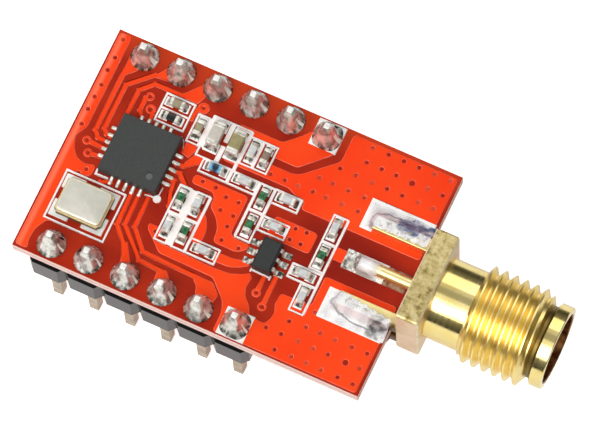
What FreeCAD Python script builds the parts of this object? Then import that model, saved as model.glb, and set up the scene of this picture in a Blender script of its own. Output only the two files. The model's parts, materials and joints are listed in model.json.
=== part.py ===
"""An rf transceiver module: a small circuit board on two rows of header pins, with an edge-mounted
coaxial connector.

The frame: +X runs along the board to the connector, +Y to the rear pin row and +Z up. The origin is
the centre of the pin grid, at the header plastic's underside, where the module seats on its socket.
"""
import FreeCAD, Part
import os

import Sketcher

SIZES = [
    # Pin grid and board
    ("pin_pitch", 2.54, "between the pins of a row"),
    ("pins_per_row", 6, "pins in each of the two rows"),
    ("row_spacing", 13.6, "between the centres of the two rows"),
    ("row_inset", 1.05, "from a row's centre to the board's long edge"),
    ("column_inset", 2.25, "from the first pins to the board's plain end"),
    ("connector_run", 8.85, "from the last pins to the board's connector end"),
    ("board_thickness", 1.0, "laminate with its copper"),
    ("pin_hole_diameter", 1.0, "plated hole for each pin"),
    # Header strips
    ("pin_width", 0.64, "square pin"),
    ("pin_below", 6.2, "pin below the header plastic"),
    ("pin_above", 2.05, "pin above the board"),
    ("pin_point_length", 0.4, "tapered point at both ends of a pin"),
    ("pin_point_inset", 0.16, "how far the point's tip is drawn in on each side"),
    ("housing_width", 2.5, "header plastic across the row"),
    ("housing_height", 2.54, "header plastic from the board to the socket"),
    ("housing_notch", 0.4, "depth of the notch between two pins' blocks"),
    # Solder on the header pins
    ("joint_diameter", 1.86, "foot of the solder on its round pad"),
    ("joint_height", 1.5, "solder's climb up the pin"),
    ("joint_top_diameter", 0.98, "top of the solder round the pin"),
    # Transceiver chip, a flat package with pads on four sides
    ("chip_width", 4.0, "both sides of the square body"),
    ("chip_height", 0.82, "moulded body"),
    ("chip_standoff", 0.03, "solder under the body"),
    ("chip_bevel", 0.06, "broken top edge"),
    ("chip_pads_per_side", 5, "pads on each side"),
    ("chip_pad_pitch", 0.5, "between pads"),
    ("chip_pad_width", 0.26, "pad along the side"),
    ("chip_pad_length", 0.4, "pad under the body"),
    ("chip_pad_height", 0.2, "pad's end face"),
    ("chip_mark_diameter", 0.5, "dimple beside the first pad"),
    ("chip_mark_depth", 0.05, "dimple's depth"),
    ("chip_mark_inset", 0.8, "dimple's centre from the body's sides"),
    # Crystal in its ceramic package
    ("crystal_length", 3.2, "ceramic base along the board"),
    ("crystal_width", 2.5, "ceramic base across the board"),
    ("crystal_base_height", 0.45, "ceramic base"),
    ("crystal_corner_radius", 0.2, "quarter-round recess in each corner of the base"),
    ("crystal_lid_inset", 0.08, "lid inside the base's edge"),
    ("crystal_lid_height", 0.27, "metal lid"),
    ("crystal_lid_corner_radius", 0.32, "lid's rounded corners"),
    ("crystal_lid_bevel", 0.08, "lid's sloped top edge"),
    # Antenna switch, a small package with three leads on two sides
    ("switch_length", 2.05, "body along its rows of leads"),
    ("switch_width", 1.25, "body between its rows of leads"),
    ("switch_height", 0.88, "body"),
    ("switch_standoff", 0.07, "body above the board"),
    ("switch_bevel", 0.1, "sloped top edge of the body"),
    ("switch_lead_pitch", 0.65, "between leads"),
    ("switch_lead_width", 0.24, "lead along the body"),
    ("switch_lead_thickness", 0.14, "lead's sheet"),
    ("switch_lead_span", 2.16, "from foot to foot across the body"),
    ("switch_lead_foot", 0.26, "flat foot on the board"),
    ("switch_lead_exit", 0.45, "lead's height where it leaves the body"),
    ("switch_lead_root", 0.15, "lead inside the body"),
    # Chip capacitors, inductors and resistors
    ("small_chip_length", 1.0, "small component"),
    ("small_chip_width", 0.5, "small component"),
    ("small_chip_cap", 0.25, "metal end of a small component"),
    ("capacitor_height", 0.5, "small capacitor"),
    ("inductor_height", 0.52, "small inductor"),
    ("resistor_height", 0.35, "small resistor"),
    ("large_chip_length", 1.6, "large capacitor"),
    ("large_chip_width", 0.8, "large capacitor"),
    ("large_chip_cap", 0.35, "metal end of a large capacitor"),
    ("large_chip_height", 0.8, "large capacitor"),
    ("end_metal_skin", 0.02, "how far the metal ends stand out from the ceramic"),
    # Coaxial connector
    ("connector_gap", 0.4, "between the board's end and the flange"),
    ("flange_width", 6.35, "both sides of the square flange"),
    ("flange_thickness", 1.55, "flange"),
    ("flange_corner_radius", 0.25, "flange's corners"),
    ("leg_length", 4.1, "leg along the board"),
    ("leg_width", 0.9, "leg across the board"),
    ("leg_thickness", 0.9, "leg above or below the board"),
    ("leg_gap", 4.46, "between the inner sides of two legs"),
    ("neck_diameter", 5.3, "plain neck next to the flange"),
    ("neck_length", 2.35, "plain neck next to the flange"),
    ("thread_diameter", 6.35, "over the thread's crests, a quarter of an inch"),
    ("thread_length", 4.65, "threaded stretch"),
    ("thread_lead_in", 0.35, "bevel at both ends of the thread"),
    ("land_diameter", 5.5, "plain land at the mouth"),
    ("land_length", 1.1, "plain land at the mouth"),
    ("mouth_bevel", 0.12, "outer edge of the mouth"),
    ("mouth_diameter", 4.6, "bore that takes the mating plug"),
    ("mouth_depth", 1.9, "from the mouth to the insulator's face"),
    ("insulator_diameter", 4.1, "insulator and the bore that holds it"),
    ("insulator_back_wall", 0.6, "insulator behind the contact's shoulder"),
    ("contact_diameter", 1.27, "socket end of the centre contact"),
    ("contact_bore_diameter", 0.94, "hole for the mating pin"),
    ("contact_bore_depth", 2.6, "hole for the mating pin"),
    ("contact_slot_width", 0.2, "slots between the contact's fingers"),
    ("contact_slot_depth", 2.2, "slots between the contact's fingers"),
    ("centre_pin_diameter", 0.8, "pin that lies on the board"),
    ("centre_pin_length", 3.8, "pin behind the flange"),
    # Solder on the connector
    ("ground_fillet_width", 0.75, "solder beside a leg"),
    ("ground_fillet_height", 0.6, "solder's climb up a leg"),
    ("ground_fillet_length", 3.7, "solder along a leg"),
    ("ground_fillet_radius", 1.1, "hollow of the solder's slope"),
    ("signal_fillet_width", 0.68, "half of the solder's width on its pad"),
    ("signal_fillet_height", 0.5, "solder's height over the pad"),
    ("signal_fillet_length", 1.9, "solder along the centre pin"),
    ("signal_fillet_overrun", 0.55, "solder past the centre pin's tip"),
]

# Centres of the large pieces on the board
CHIP_PLACE = (-3.77, 0.72)
CRYSTAL_PLACE = (-5.58, -3.62)
SWITCH_PLACE = (6.33, -2.05)

# Each small component: name, kind, centre, and whether it lies along the board or across it
ALONG = 0
ACROSS = 90
COMPONENTS = [
    ("capacitor_1", "small_capacitor", -3.10, 4.75, ALONG),
    ("resistor_1", "resistor", -3.08, 3.80, ALONG),
    ("capacitor_2", "small_capacitor", -1.20, 3.88, ACROSS),
    ("capacitor_3", "large_capacitor", 0.00, 3.87, ACROSS),
    ("capacitor_4", "large_capacitor", 1.40, 3.88, ACROSS),
    ("capacitor_5", "small_capacitor", 2.50, 3.90, ACROSS),
    ("capacitor_6", "small_capacitor", 3.43, 3.90, ACROSS),
    ("inductor_1", "inductor", 0.90, 1.90, ALONG),
    ("capacitor_7", "small_capacitor", 2.88, 1.88, ALONG),
    ("inductor_2", "inductor", 4.38, 1.42, ACROSS),
    ("capacitor_8", "small_capacitor", 5.90, 1.87, ALONG),
    ("inductor_3", "inductor", 4.38, -0.60, ACROSS),
    ("capacitor_9", "small_capacitor", 5.85, -0.05, ALONG),
    ("inductor_4", "inductor", -0.25, -0.75, ACROSS),
    ("capacitor_10", "small_capacitor", 0.86, -0.70, ACROSS),
    ("capacitor_11", "small_capacitor", -0.24, -2.74, ACROSS),
    ("inductor_5", "inductor", 0.90, -2.66, ACROSS),
    ("capacitor_12", "small_capacitor", 2.48, -3.30, ALONG),
    ("capacitor_13", "small_capacitor", 9.36, 1.42, ACROSS),
    ("inductor_6", "inductor", 9.36, -0.58, ACROSS),
    ("capacitor_14", "small_capacitor", 8.80, -2.10, ALONG),
    ("capacitor_15", "small_capacitor", 9.36, -3.45, ACROSS),
]

# What each kind of small component measures: length, width, height and metal end
KINDS = {
    "small_capacitor": ("small_chip_length", "small_chip_width", "capacitor_height", "small_chip_cap"),
    "inductor": ("small_chip_length", "small_chip_width", "inductor_height", "small_chip_cap"),
    "resistor": ("small_chip_length", "small_chip_width", "resistor_height", "small_chip_cap"),
    "large_capacitor": ("large_chip_length", "large_chip_width", "large_chip_height", "large_chip_cap"),
}

# Heights and edges that several pieces share, worked out from the sizes
BOARD_BOTTOM = "Sizes.housing_height"
BOARD_TOP = "(Sizes.housing_height + Sizes.board_thickness)"
HALF_GRID = "(Sizes.pin_pitch * (Sizes.pins_per_row - 1) / 2)"
BOARD_PLAIN_END = f"(-{HALF_GRID} - Sizes.column_inset)"
BOARD_CONNECTOR_END = f"({HALF_GRID} + Sizes.connector_run)"
BOARD_HALF_WIDTH = "(Sizes.row_spacing / 2 + Sizes.row_inset)"
FLANGE_BACK = f"({BOARD_CONNECTOR_END} + Sizes.connector_gap)"
CONNECTOR_AXIS = f"({BOARD_TOP} + Sizes.centre_pin_diameter / 2)"
NECK_END = "(Sizes.flange_thickness + Sizes.neck_length)"
THREAD_END = f"({NECK_END} + Sizes.thread_length)"
MOUTH = f"({THREAD_END} + Sizes.land_length)"
INSULATOR_FACE = f"({MOUTH} - Sizes.mouth_depth)"
ROWS = {"front": "-Sizes.row_spacing / 2", "rear": "Sizes.row_spacing / 2"}

doc = FreeCAD.newDocument("rf_transceiver_module")
sheet = doc.addObject("Spreadsheet::Sheet", "Sizes")
for row, (alias, value, note) in enumerate(SIZES, start=1):
    sheet.set(f"A{row}", note)
    sheet.set(f"B{row}", str(value))
    sheet.setAlias(f"B{row}", alias)
doc.recompute()

subparts = []


def measure(expression):
    """The value of an expression of the sheet's sizes."""
    return float(sheet.evalExpression(expression))


def keep(piece, label):
    """Name a finished piece and put it on the list of what is written out."""
    piece.Label = label
    subparts.append(piece)
    return piece


def place(piece, x="0", y="0", z="0", turn=0):
    """Put a piece at a place given by expressions, turned about the vertical."""
    piece.Placement = FreeCAD.Placement(FreeCAD.Vector(), FreeCAD.Rotation(FreeCAD.Vector(0, 0, 1), turn))
    for axis, expression in zip("xyz", (x, y, z)):
        piece.setExpression(f"Placement.Base.{axis}", expression)


def origin_feature(body, role):
    """One of a body's own origin planes or axes."""
    return next(item for item in body.Origin.OriginFeatures if item.Role == role)


def sketch_on(body, role, name, offset="0"):
    """A sketch on one of the body's origin planes, moved along its normal by the offset."""
    sketch = body.newObject("Sketcher::SketchObject", name)
    sketch.AttachmentSupport = (origin_feature(body, role), [""])
    sketch.MapMode = "FlatFace"
    sketch.setExpression("AttachmentOffset.Base.z", offset)
    return sketch


def draw_outline(sketch, corners):
    """A closed outline through corners given as pairs of expressions.

    A third and fourth item on a corner make the edge that follows an arc: its radius, and +1 or -1
    for the side of the chord that its centre lies on, counted to the left of the way to go.
    """
    points = [FreeCAD.Vector(measure(corner[0]), measure(corner[1]), 0) for corner in corners]
    first = sketch.GeometryCount
    starts = []
    for index, corner in enumerate(corners):
        here = points[index]
        there = points[(index + 1) % len(points)]
        if len(corner) == 2:
            sketch.addGeometry(Part.LineSegment(here, there))
            starts.append((1, 2))
            continue
        radius = measure(corner[2])
        chord = there - here
        left = FreeCAD.Vector(-chord.y, chord.x, 0).normalize()
        reach = (radius ** 2 - (chord.Length / 2) ** 2) ** 0.5
        centre = (here + there) * 0.5 + left * reach * corner[3]
        middle = centre - left * radius * corner[3]
        edge = sketch.addGeometry(Part.Arc(here, middle, there))
        to_first, to_second = (sketch.getPoint(edge, end).distanceToPoint(here) for end in (1, 2))
        starts.append((1, 2) if to_first < to_second else (2, 1))
        bound = sketch.addConstraint(Sketcher.Constraint("Radius", edge, radius))
        sketch.setExpression(f"Constraints[{bound}]", corner[2])
    for index, corner in enumerate(corners):
        edge = first + index
        following = (index + 1) % len(corners)
        sketch.addConstraint(
            Sketcher.Constraint("Coincident", edge, starts[index][1], first + following, starts[following][0])
        )
        point = points[index]
        for kind, expression, value in (("DistanceX", corner[0], point.x), ("DistanceY", corner[1], point.y)):
            bound = sketch.addConstraint(Sketcher.Constraint(kind, -1, 1, edge, starts[index][0], value))
            sketch.setExpression(f"Constraints[{bound}]", expression)


def draw_rectangle(sketch, left, bottom, right, top):
    """A rectangle between four expressions."""
    draw_outline(sketch, [(left, bottom), (right, bottom), (right, top), (left, top)])


def draw_centred(sketch, length, width):
    """A rectangle about the sketch's origin."""
    draw_rectangle(sketch, f"-({length}) / 2", f"-({width}) / 2", f"({length}) / 2", f"({width}) / 2")


def draw_rounded(sketch, length, width, radius):
    """A rectangle about the sketch's origin, with round corners."""
    far_x, far_y = f"({length}) / 2", f"({width}) / 2"
    near_x, near_y = f"({far_x} - {radius})", f"({far_y} - {radius})"
    draw_outline(sketch, [
        (f"-{near_x}", f"-{far_y}"), (near_x, f"-{far_y}", radius, 1),
        (far_x, f"-{near_y}"), (far_x, near_y, radius, 1),
        (near_x, far_y), (f"-{near_x}", far_y, radius, 1),
        (f"-{far_x}", near_y), (f"-{far_x}", f"-{near_y}", radius, 1),
    ])


def draw_circle(sketch, x, y, diameter):
    """A circle with its centre and size given by expressions."""
    centre = FreeCAD.Vector(measure(x), measure(y), 0)
    edge = sketch.addGeometry(Part.Circle(centre, FreeCAD.Vector(0, 0, 1), measure(diameter) / 2))
    for constraint, expression in (
        (Sketcher.Constraint("Diameter", edge, measure(diameter)), diameter),
        (Sketcher.Constraint("DistanceX", -1, 1, edge, 3, centre.x), x),
        (Sketcher.Constraint("DistanceY", -1, 1, edge, 3, centre.y), y),
    ):
        bound = sketch.addConstraint(constraint)
        sketch.setExpression(f"Constraints[{bound}]", expression)


def new_body(name):
    """An empty body."""
    return doc.addObject("PartDesign::Body", name)


def pad(body, sketch, length, name, reverse=False, both_ways=False):
    """Material along the sketch's normal."""
    feature = body.newObject("PartDesign::Pad", name)
    feature.Profile = sketch
    feature.setExpression("Length", length)
    feature.Reversed = reverse
    feature.Midplane = both_ways
    doc.recompute()
    return feature


def pocket(body, sketch, depth, name, reverse=False):
    """A cut against the sketch's normal, checked to take material away."""
    before = body.Shape.Volume
    feature = body.newObject("PartDesign::Pocket", name)
    feature.Profile = sketch
    feature.setExpression("Length", depth)
    feature.Reversed = reverse
    doc.recompute()
    if body.Shape.Volume >= before:
        raise RuntimeError(f"{name} cut nothing")
    return feature


def revolve(body, sketch, axis, name):
    """A full turn about one of the sketch's own axes."""
    feature = body.newObject("PartDesign::Revolution", name)
    feature.Profile = sketch
    feature.ReferenceAxis = (sketch, [axis])
    feature.Angle = 360
    doc.recompute()
    return feature


def repeat(body, feature, role, span, count, name):
    """Copies of a feature along one of the body's axes, over a span."""
    pattern = body.newObject("PartDesign::LinearPattern", name)
    pattern.Originals = [feature]
    pattern.Direction = (origin_feature(body, role), [""])
    pattern.setExpression("Length", span)
    pattern.setExpression("Occurrences", count)
    body.Tip = pattern
    doc.recompute()
    return pattern


def edges_at_height(shape, height):
    """Names of the edges that lie flat at one height."""
    names = []
    for index, edge in enumerate(shape.Edges, start=1):
        box = edge.BoundBox
        if abs(box.ZMin - height) < 1e-6 and abs(box.ZMax - height) < 1e-6:
            names.append(f"Edge{index}")
    return names


def bevel_top_edges(body, size, height, name):
    """A chamfer round the edges at one height."""
    base = body.Tip
    feature = body.newObject("PartDesign::Chamfer", name)
    feature.Base = (base, edges_at_height(base.Shape, measure(height)))
    feature.setExpression("Size", size)
    doc.recompute()
    return feature


def make_board():
    """The bare laminate with its two rows of pin holes."""
    body = new_body("Board")
    outline = sketch_on(body, "XY_Plane", "BoardOutline")
    draw_rectangle(
        outline, BOARD_PLAIN_END, f"-{BOARD_HALF_WIDTH}", BOARD_CONNECTOR_END, BOARD_HALF_WIDTH
    )
    pad(body, outline, "Sizes.board_thickness", "BoardSlab")
    holes = sketch_on(body, "XY_Plane", "FirstPinHoles", "Sizes.board_thickness")
    for y in ROWS.values():
        draw_circle(holes, f"-{HALF_GRID}", y, "Sizes.pin_hole_diameter")
    first = pocket(body, holes, "Sizes.board_thickness", "FirstPinHolesCut")
    repeat(body, first, "X_Axis", f"2 * {HALF_GRID}", "Sizes.pins_per_row", "PinHoles")
    place(body, z=BOARD_BOTTOM)
    return keep(body, "circuit_board")


def housing_side(side, blocks):
    """Corners along one side of the header plastic, notched between the blocks."""
    corners = []
    for block in range(blocks):
        start = f"Sizes.pin_pitch * ({block} - Sizes.pins_per_row / 2)"
        end = f"Sizes.pin_pitch * ({block + 1} - Sizes.pins_per_row / 2)"
        notch_y = f"{side} * (Sizes.housing_width / 2 - Sizes.housing_notch)"
        face_y = f"{side} * Sizes.housing_width / 2"
        corners.append((start, notch_y))
        corners.append((f"{start} + Sizes.housing_notch", face_y))
        corners.append((f"{end} - Sizes.housing_notch", face_y))
    corners.append((end, notch_y))
    return corners


def make_housing(row, y):
    """The plastic strip of one header, a block for each pin."""
    blocks = int(measure("Sizes.pins_per_row"))
    body = new_body(f"Housing_{row}")
    outline = sketch_on(body, "XY_Plane", f"HousingOutline_{row}")
    draw_outline(outline, housing_side(-1, blocks) + housing_side(1, blocks)[::-1])
    pad(body, outline, "Sizes.housing_height", f"HousingStrip_{row}")
    hole = sketch_on(body, "XY_Plane", f"FirstPinWay_{row}", "Sizes.housing_height")
    half = "Sizes.pin_width / 2"
    draw_rectangle(hole, f"-{HALF_GRID} - {half}", f"-{half}", f"-{HALF_GRID} + {half}", half)
    first = pocket(body, hole, "Sizes.housing_height", f"FirstPinWayCut_{row}")
    repeat(body, first, "X_Axis", f"2 * {HALF_GRID}", "Sizes.pins_per_row", f"PinWays_{row}")
    place(body, y=y)
    return keep(body, f"header_housing_{row}")


def make_pin(name, x, y):
    """A square pin with a tapered point at each end."""
    half = "Sizes.pin_width / 2"
    tip = f"({half} - Sizes.pin_point_inset)"
    low = "-Sizes.pin_below"
    high = f"({BOARD_TOP} + Sizes.pin_above)"
    point = "Sizes.pin_point_length"
    side = [
        (f"-{tip}", low), (tip, low), (half, f"{low} + {point}"), (half, f"{high} - {point}"),
        (tip, high), (f"-{tip}", high), (f"-{half}", f"{high} - {point}"), (f"-{half}", f"{low} + {point}"),
    ]
    body = new_body(f"Pin_{name}")
    blank = sketch_on(body, "XZ_Plane", f"PinSide_{name}")
    draw_outline(blank, side)
    pad(body, blank, "Sizes.pin_width", f"PinBlank_{name}", both_ways=True)
    for end, height, sign in (("low", low, 1), ("high", high, -1)):
        for turn in (-1, 1):
            wedge = sketch_on(body, "YZ_Plane", f"PinPoint_{name}_{end}_{turn + 1}", "Sizes.pin_width")
            draw_outline(wedge, [
                (f"{turn} * {half}", height), (f"{turn} * {tip}", height),
                (f"{turn} * {half}", f"{height} + {sign} * {point}"),
            ])
            pocket(body, wedge, "Sizes.pin_width * 2", f"PinPointCut_{name}_{end}_{turn + 1}")
    place(body, x, y)
    return keep(body, f"header_pin_{name}")


def make_joint(name, x, y):
    """The cone of solder that ties one pin to its round pad and climbs it."""
    body = new_body(f"Joint_{name}")
    half = sketch_on(body, "XZ_Plane", f"JointSection_{name}")
    draw_outline(half, [
        ("0", "0"), ("Sizes.joint_diameter / 2", "0"),
        ("Sizes.joint_top_diameter / 2", "Sizes.joint_height"), ("0", "Sizes.joint_height"),
    ])
    revolve(body, half, "V_Axis", f"JointSolder_{name}")
    way = sketch_on(body, "XY_Plane", f"JointPinWay_{name}", "Sizes.joint_height")
    draw_centred(way, "Sizes.pin_width", "Sizes.pin_width")
    pocket(body, way, "Sizes.joint_height", f"JointPinWayCut_{name}")
    place(body, x, y, BOARD_TOP)
    return keep(body, f"solder_joint_{name}")


def make_headers():
    """Both header strips with their pins and solder."""
    for row, y in ROWS.items():
        make_housing(row, y)
        for number in range(int(measure("Sizes.pins_per_row"))):
            x = f"Sizes.pin_pitch * ({number} - (Sizes.pins_per_row - 1) / 2)"
            make_pin(f"{row}_{number + 1}", x, y)
            make_joint(f"{row}_{number + 1}", x, y)


def make_transceiver_chip():
    """The flat chip package: moulded body, and the pads let into its lower edges."""
    x, y = (str(value) for value in CHIP_PLACE)
    pads = new_body("ChipPads")
    feet = sketch_on(pads, "XY_Plane", "ChipPadFeet")
    edge = "Sizes.chip_width / 2"
    root = f"{edge} - Sizes.chip_pad_length"
    count = int(measure("Sizes.chip_pads_per_side"))
    for number in range(count):
        middle = f"Sizes.chip_pad_pitch * ({number} - (Sizes.chip_pads_per_side - 1) / 2)"
        low = f"{middle} - Sizes.chip_pad_width / 2"
        high = f"{middle} + Sizes.chip_pad_width / 2"
        draw_rectangle(feet, root, low, edge, high)
        draw_rectangle(feet, f"-({edge})", low, f"-({root})", high)
        draw_rectangle(feet, low, root, high, edge)
        draw_rectangle(feet, low, f"-({edge})", high, f"-({root})")
    pad(pads, feet, "Sizes.chip_pad_height", "ChipPadFeetUp")
    place(pads, x, y, BOARD_TOP)

    mould = new_body("ChipMould")
    square = sketch_on(mould, "XY_Plane", "ChipSquare", "Sizes.chip_standoff")
    draw_centred(square, "Sizes.chip_width", "Sizes.chip_width")
    pad(mould, square, "Sizes.chip_height", "ChipBlock")
    top = "Sizes.chip_standoff + Sizes.chip_height"
    bevel_top_edges(mould, "Sizes.chip_bevel", top, "ChipBevel")
    mark = sketch_on(mould, "XY_Plane", "ChipMark", top)
    draw_circle(
        mark, "Sizes.chip_width / 2 - Sizes.chip_mark_inset", "Sizes.chip_mark_inset - Sizes.chip_width / 2",
        "Sizes.chip_mark_diameter",
    )
    pocket(mould, mark, "Sizes.chip_mark_depth", "ChipMarkCut")
    place(mould, x, y, BOARD_TOP)
    seat_on_metal("ChipBody", mould, pads, "transceiver_chip_body")
    keep(pads, "transceiver_chip_pads")


def seat_on_metal(name, mould, metal, label):
    """A moulding with the recesses that its own metal fills."""
    body = doc.addObject("Part::Cut", name)
    body.Base = mould
    body.Tool = metal
    doc.recompute()
    return keep(body, label)


def make_crystal():
    """The crystal: a ceramic base with recessed corners, and its metal lid."""
    x, y = (str(value) for value in CRYSTAL_PLACE)
    base = new_body("CrystalBase")
    slab = sketch_on(base, "XY_Plane", "CrystalSlab")
    draw_centred(slab, "Sizes.crystal_length", "Sizes.crystal_width")
    pad(base, slab, "Sizes.crystal_base_height", "CrystalSlabUp")
    corners = sketch_on(base, "XY_Plane", "CrystalCorners", "Sizes.crystal_base_height")
    for side_x in ("-1", "1"):
        for side_y in ("-1", "1"):
            draw_circle(
                corners, f"{side_x} * Sizes.crystal_length / 2", f"{side_y} * Sizes.crystal_width / 2",
                "Sizes.crystal_corner_radius * 2",
            )
    pocket(base, corners, "Sizes.crystal_base_height", "CrystalCornersCut")
    place(base, x, y, BOARD_TOP)
    keep(base, "crystal_base")

    lid = new_body("CrystalLid")
    plate = sketch_on(lid, "XY_Plane", "LidOutline")
    draw_rounded(
        plate, "Sizes.crystal_length - 2 * Sizes.crystal_lid_inset",
        "Sizes.crystal_width - 2 * Sizes.crystal_lid_inset", "Sizes.crystal_lid_corner_radius",
    )
    pad(lid, plate, "Sizes.crystal_lid_height", "LidPlate")
    bevel_top_edges(lid, "Sizes.crystal_lid_bevel", "Sizes.crystal_lid_height", "LidEdge")
    place(lid, x, y, f"{BOARD_TOP} + Sizes.crystal_base_height")
    keep(lid, "crystal_lid")


def lead_outline(side):
    """The side view of one bent lead, from inside the body down to its foot."""
    wall = "Sizes.switch_width / 2"
    out = "Sizes.switch_lead_span / 2"
    thick = "Sizes.switch_lead_thickness"
    level = "Sizes.switch_lead_exit"
    knee = f"({wall} + {thick} / 2)"
    heel = f"({out} - Sizes.switch_lead_foot)"
    points = [
        (f"{wall} - Sizes.switch_lead_root", level), (knee, level), (heel, "0"), (out, "0"), (out, thick),
        (f"{heel} + {thick} / 2", thick), (f"{knee} + {thick} / 2", f"{level} + {thick}"),
        (f"{wall} - Sizes.switch_lead_root", f"{level} + {thick}"),
    ]
    return [(f"{side} * ({x})", height) for x, height in points]


def make_antenna_switch():
    """The small switch package with three bent leads on each side."""
    x, y = (str(value) for value in SWITCH_PLACE)
    leads = new_body("SwitchLeads")
    bends = sketch_on(leads, "XZ_Plane", "SwitchLeadBends", "Sizes.switch_lead_pitch")
    for side in (-1, 1):
        draw_outline(bends, lead_outline(side))
    pair = pad(leads, bends, "Sizes.switch_lead_width", "SwitchFirstLeads", both_ways=True)
    repeat(leads, pair, "Y_Axis", "2 * Sizes.switch_lead_pitch", "3", "SwitchLeadRows")
    place(leads, x, y, BOARD_TOP)

    mould = new_body("SwitchMould")
    block = sketch_on(mould, "XY_Plane", "SwitchBlock", "Sizes.switch_standoff")
    draw_centred(block, "Sizes.switch_width", "Sizes.switch_length")
    pad(mould, block, "Sizes.switch_height", "SwitchBlockUp")
    top = "Sizes.switch_standoff + Sizes.switch_height"
    bevel_top_edges(mould, "Sizes.switch_bevel", top, "SwitchBevel")
    place(mould, x, y, BOARD_TOP)
    seat_on_metal("SwitchBody", mould, leads, "antenna_switch_body")
    keep(leads, "antenna_switch_leads")


def make_component(name, kind, x, y, turn):
    """A ceramic chip component whose metal ends stand a little proud of the ceramic."""
    length, width, height, cap = (f"Sizes.{alias}" for alias in KINDS[kind])
    end, side = f"{length} / 2", f"{width} / 2"
    waist = f"({side} - Sizes.end_metal_skin)"
    inner = f"({end} - {cap})"
    body = new_body(f"Chip_{name}")
    outline = sketch_on(body, "XY_Plane", f"ChipOutline_{name}")
    draw_outline(outline, [
        (f"-{end}", f"-{side}"), (f"-{inner}", f"-{side}"), (f"-{inner}", f"-{waist}"),
        (inner, f"-{waist}"), (inner, f"-{side}"), (end, f"-{side}"),
        (end, side), (inner, side), (inner, waist),
        (f"-{inner}", waist), (f"-{inner}", side), (f"-{end}", side),
    ])
    pad(body, outline, height, f"ChipUp_{name}")
    top = sketch_on(body, "XY_Plane", f"ChipTop_{name}", height)
    draw_rectangle(top, f"-{inner}", f"-{side}", inner, side)
    pocket(body, top, "Sizes.end_metal_skin", f"ChipTopCut_{name}")
    place(body, str(x), str(y), BOARD_TOP, turn)
    return keep(body, name)


def barrel_section():
    """The connector's barrel as a half section: neck, threaded stretch, land and stepped bore."""
    neck, thread, land = (f"Sizes.{part}_diameter / 2" for part in ("neck", "thread", "land"))
    bore, socket = "Sizes.insulator_diameter / 2", "Sizes.mouth_diameter / 2"
    lead_in, bevel = "Sizes.thread_lead_in", "Sizes.mouth_bevel"
    return [
        ("Sizes.flange_thickness", bore), ("Sizes.flange_thickness", neck), (NECK_END, neck),
        (f"{NECK_END} + {lead_in}", thread), (f"{THREAD_END} - {lead_in}", thread), (THREAD_END, land),
        (f"{MOUTH} - {bevel}", land), (MOUTH, f"{land} - {bevel}"),
        (MOUTH, socket), (INSULATOR_FACE, socket), (INSULATOR_FACE, bore),
    ]


def make_connector_body():
    """The turned brass body: square flange, barrel and four legs that straddle the board's end."""
    body = new_body("ConnectorBody")
    flange = sketch_on(body, "YZ_Plane", "FlangeOutline")
    draw_rounded(flange, "Sizes.flange_width", "Sizes.flange_width", "Sizes.flange_corner_radius")
    draw_circle(flange, "0", "0", "Sizes.insulator_diameter")
    pad(body, flange, "Sizes.flange_thickness", "Flange")
    section = sketch_on(body, "XZ_Plane", "BarrelSection")
    draw_outline(section, barrel_section())
    revolve(body, section, "H_Axis", "Barrel")
    legs = sketch_on(body, "YZ_Plane", "LegSections")
    upper = "-Sizes.centre_pin_diameter / 2"
    lower = f"({upper} - Sizes.board_thickness)"
    inner = "Sizes.leg_gap / 2"
    outer = f"({inner} + Sizes.leg_width)"
    for left, right in ((inner, outer), (f"-{outer}", f"-{inner}")):
        draw_rectangle(legs, left, upper, right, f"{upper} + Sizes.leg_thickness")
        draw_rectangle(legs, left, f"{lower} - Sizes.leg_thickness", right, lower)
    pad(body, legs, "Sizes.leg_length", "Legs", reverse=True)
    place(body, FLANGE_BACK, z=CONNECTOR_AXIS)
    return keep(body, "coax_connector_body")


def make_insulator():
    """The insulator that fills the body's bore and holds the centre contact."""
    body = new_body("Insulator")
    section = sketch_on(body, "XZ_Plane", "InsulatorSection")
    pin, shoulder = "Sizes.centre_pin_diameter / 2", "Sizes.contact_diameter / 2"
    draw_outline(section, [
        ("0", pin), ("Sizes.insulator_back_wall", pin), ("Sizes.insulator_back_wall", shoulder),
        (INSULATOR_FACE, shoulder), (INSULATOR_FACE, "Sizes.insulator_diameter / 2"),
        ("0", "Sizes.insulator_diameter / 2"),
    ])
    revolve(body, section, "H_Axis", "InsulatorTurned")
    place(body, FLANGE_BACK, z=CONNECTOR_AXIS)
    return keep(body, "coax_connector_insulator")


def make_contact():
    """The centre contact: a slotted socket in the mouth and a plain pin out on the board."""
    body = new_body("Contact")
    section = sketch_on(body, "XZ_Plane", "ContactSection")
    pin, socket = "Sizes.centre_pin_diameter / 2", "Sizes.contact_diameter / 2"
    bore = "Sizes.contact_bore_diameter / 2"
    bore_end = f"({INSULATOR_FACE} - Sizes.contact_bore_depth)"
    draw_outline(section, [
        ("-Sizes.centre_pin_length", "0"), ("-Sizes.centre_pin_length", pin),
        ("Sizes.insulator_back_wall", pin), ("Sizes.insulator_back_wall", socket),
        (INSULATOR_FACE, socket), (INSULATOR_FACE, bore), (bore_end, bore), (bore_end, "0"),
    ])
    revolve(body, section, "H_Axis", "ContactTurned")
    for name, length, width in (
        ("Upright", "Sizes.contact_slot_width", "Sizes.contact_diameter"),
        ("Level", "Sizes.contact_diameter", "Sizes.contact_slot_width"),
    ):
        slot = sketch_on(body, "YZ_Plane", f"Slot{name}", INSULATOR_FACE)
        draw_centred(slot, length, width)
        pocket(body, slot, "Sizes.contact_slot_depth", f"Slot{name}Cut")
    place(body, FLANGE_BACK, z=CONNECTOR_AXIS)
    return keep(body, "coax_connector_contact")


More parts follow.
